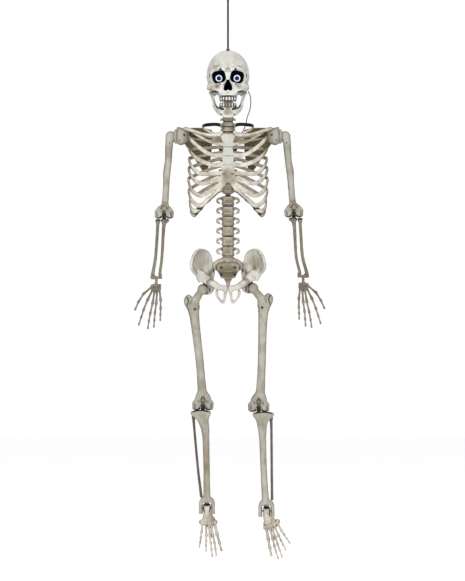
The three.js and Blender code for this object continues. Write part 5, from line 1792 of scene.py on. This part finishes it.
def femur(side, out, mat):
    """The thigh bone from its ball to the knee, with the knee pin."""
    leg = LEGS[side]
    hip, knee = JOINT[f"{side}_hip_swing"], JOINT[f"{side}_knee_bend"]
    trochanter = np.array(leg["trochanter"], float)
    low = np.minimum(np.minimum(hip, knee), trochanter) - vec(34, 32, 18)
    high = np.maximum(np.maximum(hip, knee), trochanter) + vec(36, 32, 20)
    clay = Clay(low, high, 1.35)
    clay.add(blob(hip, BALL - 0.1), 0)
    clay.path(
        [hip + vec(7 * out, 0, -8), trochanter + vec(-9 * out, -2, 4)], [9.5, 12], 2, wide=UP,
        ratio=1.1,
    )
    clay.add(blob(trochanter + vec(7 * out, 1, 6), (14, 14, 20), tilt=-10 * out), 4)
    clay.add(blob(trochanter + vec(6 * out, 2, 16), (9, 9, 11)), 3)
    clay.add(blob(trochanter + vec(-16 * out, 8, -26), (8, 8, 11)), 5)
    clay.add(blob(trochanter + vec(-7 * out, 0, -6), (19, 14, 22)), 6)
    clay.path(leg["femur"], [17.5, 13.4, 11.8, 13.6, 18], 5, per=6)
    clay.path([np.array(p) + vec(0, 9, 0) for p in leg["femur"][1:4]], [3, 3.6, 3], 4)
    clay.add(blob(knee + vec(0, -2, 17), (24, 11.5, 24)), 12)
    for place in (-1, 1):
        clay.add(blob(knee + vec(25 * place, -1, 5), (7, 9.5, 12)), 4)
    knuckle(clay, KNEE, knee)
    clay.cut(blob(knee + vec(0, -18, 16), (7, 9, 14)), 3)
    # Painted shade lines round the hollow above the knee and along the folds of the trochanter.
    clay.paint_shade_along(
        [knee + vec(-12, -14, 14), knee + vec(0, -12, 24), knee + vec(12, -14, 14)], 4.4, 0.6,
    )
    clay.paint_shade_along(
        [
            trochanter + vec(13 * out, -8, 22), trochanter + vec(8 * out, -13, 10),
            trochanter + vec(11 * out, -12, -2), trochanter + vec(17 * out, -6, -14),
        ],
        3, 0.85,
    )
    clay.paint_shade_along([trochanter + vec(-4 * out, -12, 12), trochanter + vec(2 * out, -14, 0)], 3, 0.5)
    clay.cut(
        capsule(trochanter + vec(-12 * out, -26, -16), trochanter + vec(-12 * out, -8, -16), 3), 1.2,
    )
    clay.cut(capsule(trochanter + vec(12 * out, -14, 4), trochanter + vec(14 * out, -12, -8), 1.8), 2)
    clay.cut(capsule(trochanter + vec(-4 * out, -16, 18), trochanter + vec(4 * out, -16, 6), 1.6), 2)
    clay.stain(hip + vec(14 * out, -8, -16), 16, 0.4)
    clay.stain(trochanter + vec(12 * -out, -14, -16), 10, 0.45)
    # Painted shade in the hole below the trochanter.
    clay.stain(trochanter + vec(12 * -out, -14, -16), 4.6, 1.0, "dark")
    clay.stain(knee + vec(0, -12, 18), 20, 0.45)
    if out < 0:
        clay.stain(knee + vec(1, -8, 40), np.array((13, 20, 40)), 0.45)
    sculpt(clay, f"{side}_femur", [f"{side}_femur"], f"{side}_thigh", mat["bone"], 0.4)
    screw_pin(
        f"{side}_knee_pin", knee, knee[0] - 30, knee[0] + 30, KNEE["pin"], mat["steel"],
        f"{side}_thigh",
    )


def shin(side, out, mat):
    """The two shin bones, with the ankle fork and its pin."""
    leg = LEGS[side]
    knee, ankle = JOINT[f"{side}_knee_bend"], JOINT[f"{side}_ankle_bend"]
    low = np.minimum(knee, ankle) - vec(44, 26, 24)
    high = np.maximum(knee, ankle) + vec(46, 28, 16)
    clay = Clay(low, high, 1.25)
    shelf(clay, KNEE, knee, leg["plateau"][0], leg["plateau"][1], 13, 8)
    tibia = [np.array(p, float) for p in leg["tibia"]]
    low_end, high_end = leg["plateau"]
    for end in (low_end + 9, high_end - 9):
        clay.path([(end, 0, knee[2] - 22), ((end + 2 * tibia[0][0]) / 3, 1, knee[2] - 42), tibia[1]],
                  [9, 9.4, 9.6], 4)
    clay.path([tibia[0], tibia[0] + vec(0, -1, -18), tibia[1], tibia[2], tibia[3]],
              [14, 13, 10.6, 9.6, 10.5], 5, per=6)
    clay.path(
        [tibia[0] + vec(0, -10, -8), tibia[0] + vec(1 * out, -11, -26), tibia[1] + vec(0, -7, -20)],
        [5, 4.6, 2.6], 4,
    )
    clay.add(blob(ankle + vec(0, 0, 19), (22.5, 11, 17)), 5)
    for place in (-1, 1):
        clay.add(
            brick(
                ankle + vec(place * (TALUS_HALF + 0.5), -8, -DROP),
                ankle + vec(place * (FORK - 0.3), 8, 18), 3,
            ),
            3,
        )
    clay.cut(
        brick(ankle + vec(-TALUS_HALF - 0.5, -40, -40), ankle + vec(TALUS_HALF + 0.5, 40, CROWN), 3.5),
        0.5,
    )
    clay.cut(
        brick(ankle + vec(-TALUS_HALF - 0.5, -40, -60), ankle + vec(TALUS_HALF + 0.5, 40, 4), 0.1), 0,
    )
    clay.cut(drum(ankle, -40, 40, 3.3), 0)
    slot = KNEE["slot"] - 0.7
    clay.cut(drum(knee, -90, -slot, KNEE["condyle"] + 2.2), 0)
    clay.cut(drum(knee, slot, 90, KNEE["condyle"] + 2.2), 0)
    # Painted shade along the arch of the ankle fork's slot.
    clay.paint_shade_along([ankle + vec(-13, -8, -18), ankle + vec(-13, -8, 8), ankle + vec(-6, -9, 17),
                      ankle + vec(6, -9, 17), ankle + vec(13, -8, 8), ankle + vec(13, -8, -18)], 3, 0.9)
    fibula = [np.array(p, float) for p in leg["fibula"]]
    clay.path(fibula, 5.2, 0, carve=True)
    clay.cut(blob(fibula[0] + vec(0, 0, 2), (6.8, 7.8, 7.8)), 0)
    clay.stain(tibia[1] + vec(0, -6, -60), np.array((14, 20, 70)), 0.45 if out < 0 else 0.12, "rust")
    if out < 0:
        clay.stain(tibia[2] + vec(0, -6, 10), np.array((14, 20, 110)), 0.5)
    clay.stain(tibia[0] + vec(0, -10, -10), 20, 0.3)
    sculpt(clay, f"{side}_tibia", [f"{side}_tibia"], f"{side}_shin", mat["bone"], 0.35)

    clay = Clay(np.min(fibula, 0) - 12, np.max(fibula, 0) + 12, 1.1)
    clay.path(fibula, [4.6, 3.8, 3.8, 4.4], 1)
    clay.add(blob(fibula[0] + vec(0, 0, 2), (5.8, 6.8, 6.8)), 2)
    sculpt(clay, f"{side}_fibula", [f"{side}_fibula"], f"{side}_shin", mat["slim"], 0.25)
    screw_pin(f"{side}_ankle_pin", ankle, ankle[0] - FORK + 1, ankle[0] + FORK - 1, 2.5, mat["steel"],
              f"{side}_shin")


TOES = [
    ([(17, -12, 48), (22, -26, 80), (26, -37, 106), (29, -45, 127)], 4.0, 5.4),
    ([(7, -14, 50), (9, -28, 84), (11, -36, 104), (12, -43, 122), (12.5, -50, 142)], 3.0, 4.4),
    ([(0, -14, 50), (0, -28, 84), (0, -36, 104), (0, -43, 122), (0, -50, 142)], 2.9, 4.3),
    ([(-8, -13, 48), (-11, -26, 80), (-13, -33, 96), (-15, -39, 110), (-17, -45, 126)], 2.9, 4.2),
    ([(-19, -10, 44), (-24, -21, 70), (-28, -28, 84), (-31, -33, 97), (-35, -39, 111)], 2.8, 4.1),
]


def foot(side, out, mat):
    """The ankle roller, heel, middle foot and toes, hanging down and turned towards +X."""
    ankle = JOINT[f"{side}_ankle_bend"]
    turn = math.radians(LEGS[side]["foot_turn"])

    def at(point):
        across, y, down = -point[0] * out, point[1], point[2]
        return ankle + vec(across * math.cos(turn) + down * math.sin(turn), y,
                           across * math.sin(turn) - down * math.cos(turn))

    tips = np.array([at(p) for toe in TOES for p in toe[0]] + [ankle + vec(0, 44, 12)])
    clay = Clay(tips.min(0) - 9, tips.max(0) + vec(12, 9, 9), 1.1)
    clay.add(
        revolved(
            ankle,
            [
                (-TALUS_HALF + 0.4, 9.4), (-TALUS_HALF + 1.6, 11), (-8.4, 12.4), (-7, 15.2), (7, 15.2),
                (8.4, 12.4), (TALUS_HALF - 1.6, 11), (TALUS_HALF - 0.4, 9.4),
            ],
        ),
        0,
    )
    clay.path([ankle, ankle + vec(0, -5, -20), at((0, -9, 34))], [8, 8.6, 9.6], 2)
    clay.path(
        [ankle + vec(0, 6, -5), ankle + vec(0, 22, -12), ankle + vec(0, 32, -15)], [8, 10, 9.6], 3,
    )
    clay.add(blob(ankle + vec(0, 27, -15), (10, 15, 11.4)), 3)
    tarsals = [
        (7, -7, 27), (-6, -6, 27), (14, -8, 34), (2, -8, 34), (-11, -7, 34), (20, -11, 44),
        (11, -12, 45), (2, -13, 46), (-8, -12, 45), (-17, -10, 43), (-22, -8, 40),
    ]
    clay.add(blob(at((0, -6, 25)), (16, 8, 11)), 4)
    clay.add(blob(at((-1, -9, 40)), (25, 8, 12)), 4)
    for spot in tarsals:
        clay.add(blob(at(spot), (7, 9, 7)), 1.6)
    for points, thick, bead in TOES:
        beaded(clay, [at(p) for p in points], thick, bead)
    clay.cut(drum(ankle, -40, 40, 3.3), 0)
    clay.stain(at((0, -14, 42)), 26, 0.2)
    # Painted shade on the roller's top and sides, where it sits inside the ankle fork.
    clay.stain(ankle + vec(0, -6, 12), np.array((14, 20, 9)), 1.0, "dark")
    for edge in (-1, 1):
        clay.stain(ankle + vec(11 * edge, -8, -4), np.array((4, 14, 16)), 0.9, "dark")
    sculpt(clay, f"{side}_foot", [f"{side}_foot"], f"{side}_ankle", mat["small"], 0.2)


# ---------- studio ----------
FLOOR_Z = -1.80
FLOOR_HALF = 14.0


LIGHTS = (  # name, place, target, size, power
    ("key", (-1.5, -5.0, 0.3), (0, 0, -0.85), (1.7, 1.7), 120),
    ("fill", (1.9, -5.0, -0.2), (0, 0, -0.9), (1.7, 1.7), 60),
    ("top", (0, 0.6, 2.6), (0, 0.2, -1.8), (5.0, 5.0), 70),
)


def area_light(name, place, target, size, power):
    data = bpy.data.lights.new(name, "AREA")
    data.shape = "RECTANGLE"
    data.size, data.size_y = size
    data.energy = power
    light = bpy.data.objects.new(name, data)
    light.location = place
    aim = Vector(target) - Vector(place)
    light.rotation_euler = aim.to_track_quat("-Z", "Y").to_euler()
    bpy.context.scene.collection.objects.link(light)


def studio():
    """A pale floor, a white world and soft lights."""
    corners = [(x, y, FLOOR_Z) for x, y in ((-1, -1), (1, -1), (1, 1), (-1, 1))]
    points = np.array(corners) * (FLOOR_HALF, FLOOR_HALF, 1)
    floor = build_mesh("floor", points, np.array([[0, 1, 2, 3]]), {})
    n = Nodes("floor_paint")
    paint = n.mix(n.span(n.noise(3, 2), 0.3, 0.7), rgb("FDFDFD"), rgb("FBFBFB"))
    floor.data.materials.append(n.finish(paint, n.span(n.noise(8, 2), 0.3, 0.7, 0.7, 0.8)))
    world = bpy.data.worlds.new("studio")
    world.use_nodes = True
    world.node_tree.nodes["Background"].inputs["Color"].default_value = (1, 1, 1, 1)
    world.node_tree.nodes["Background"].inputs["Strength"].default_value = 1.0
    bpy.context.scene.world = world
    for light in LIGHTS:
        area_light(*light)
    view = bpy.context.scene.view_settings
    view.view_transform = "Standard"
    view.look = "None"


def main():
    make_camera()
    mat = make_materials()
    hanging_gear(mat)
    head(mat)
    jaw(mat)
    neck(mat)
    rib_cage(mat)
    supply(mat)
    lumbar(mat)
    sacrum(mat)
    for side, out in SIDES:
        shoulder_girdle(side, out, mat)
        hip_bone(side, out, mat)
        arm(side, out, mat)
        femur(side, out, mat)
        shin(side, out, mat)
        foot(side, out, mat)
    studio()


main()
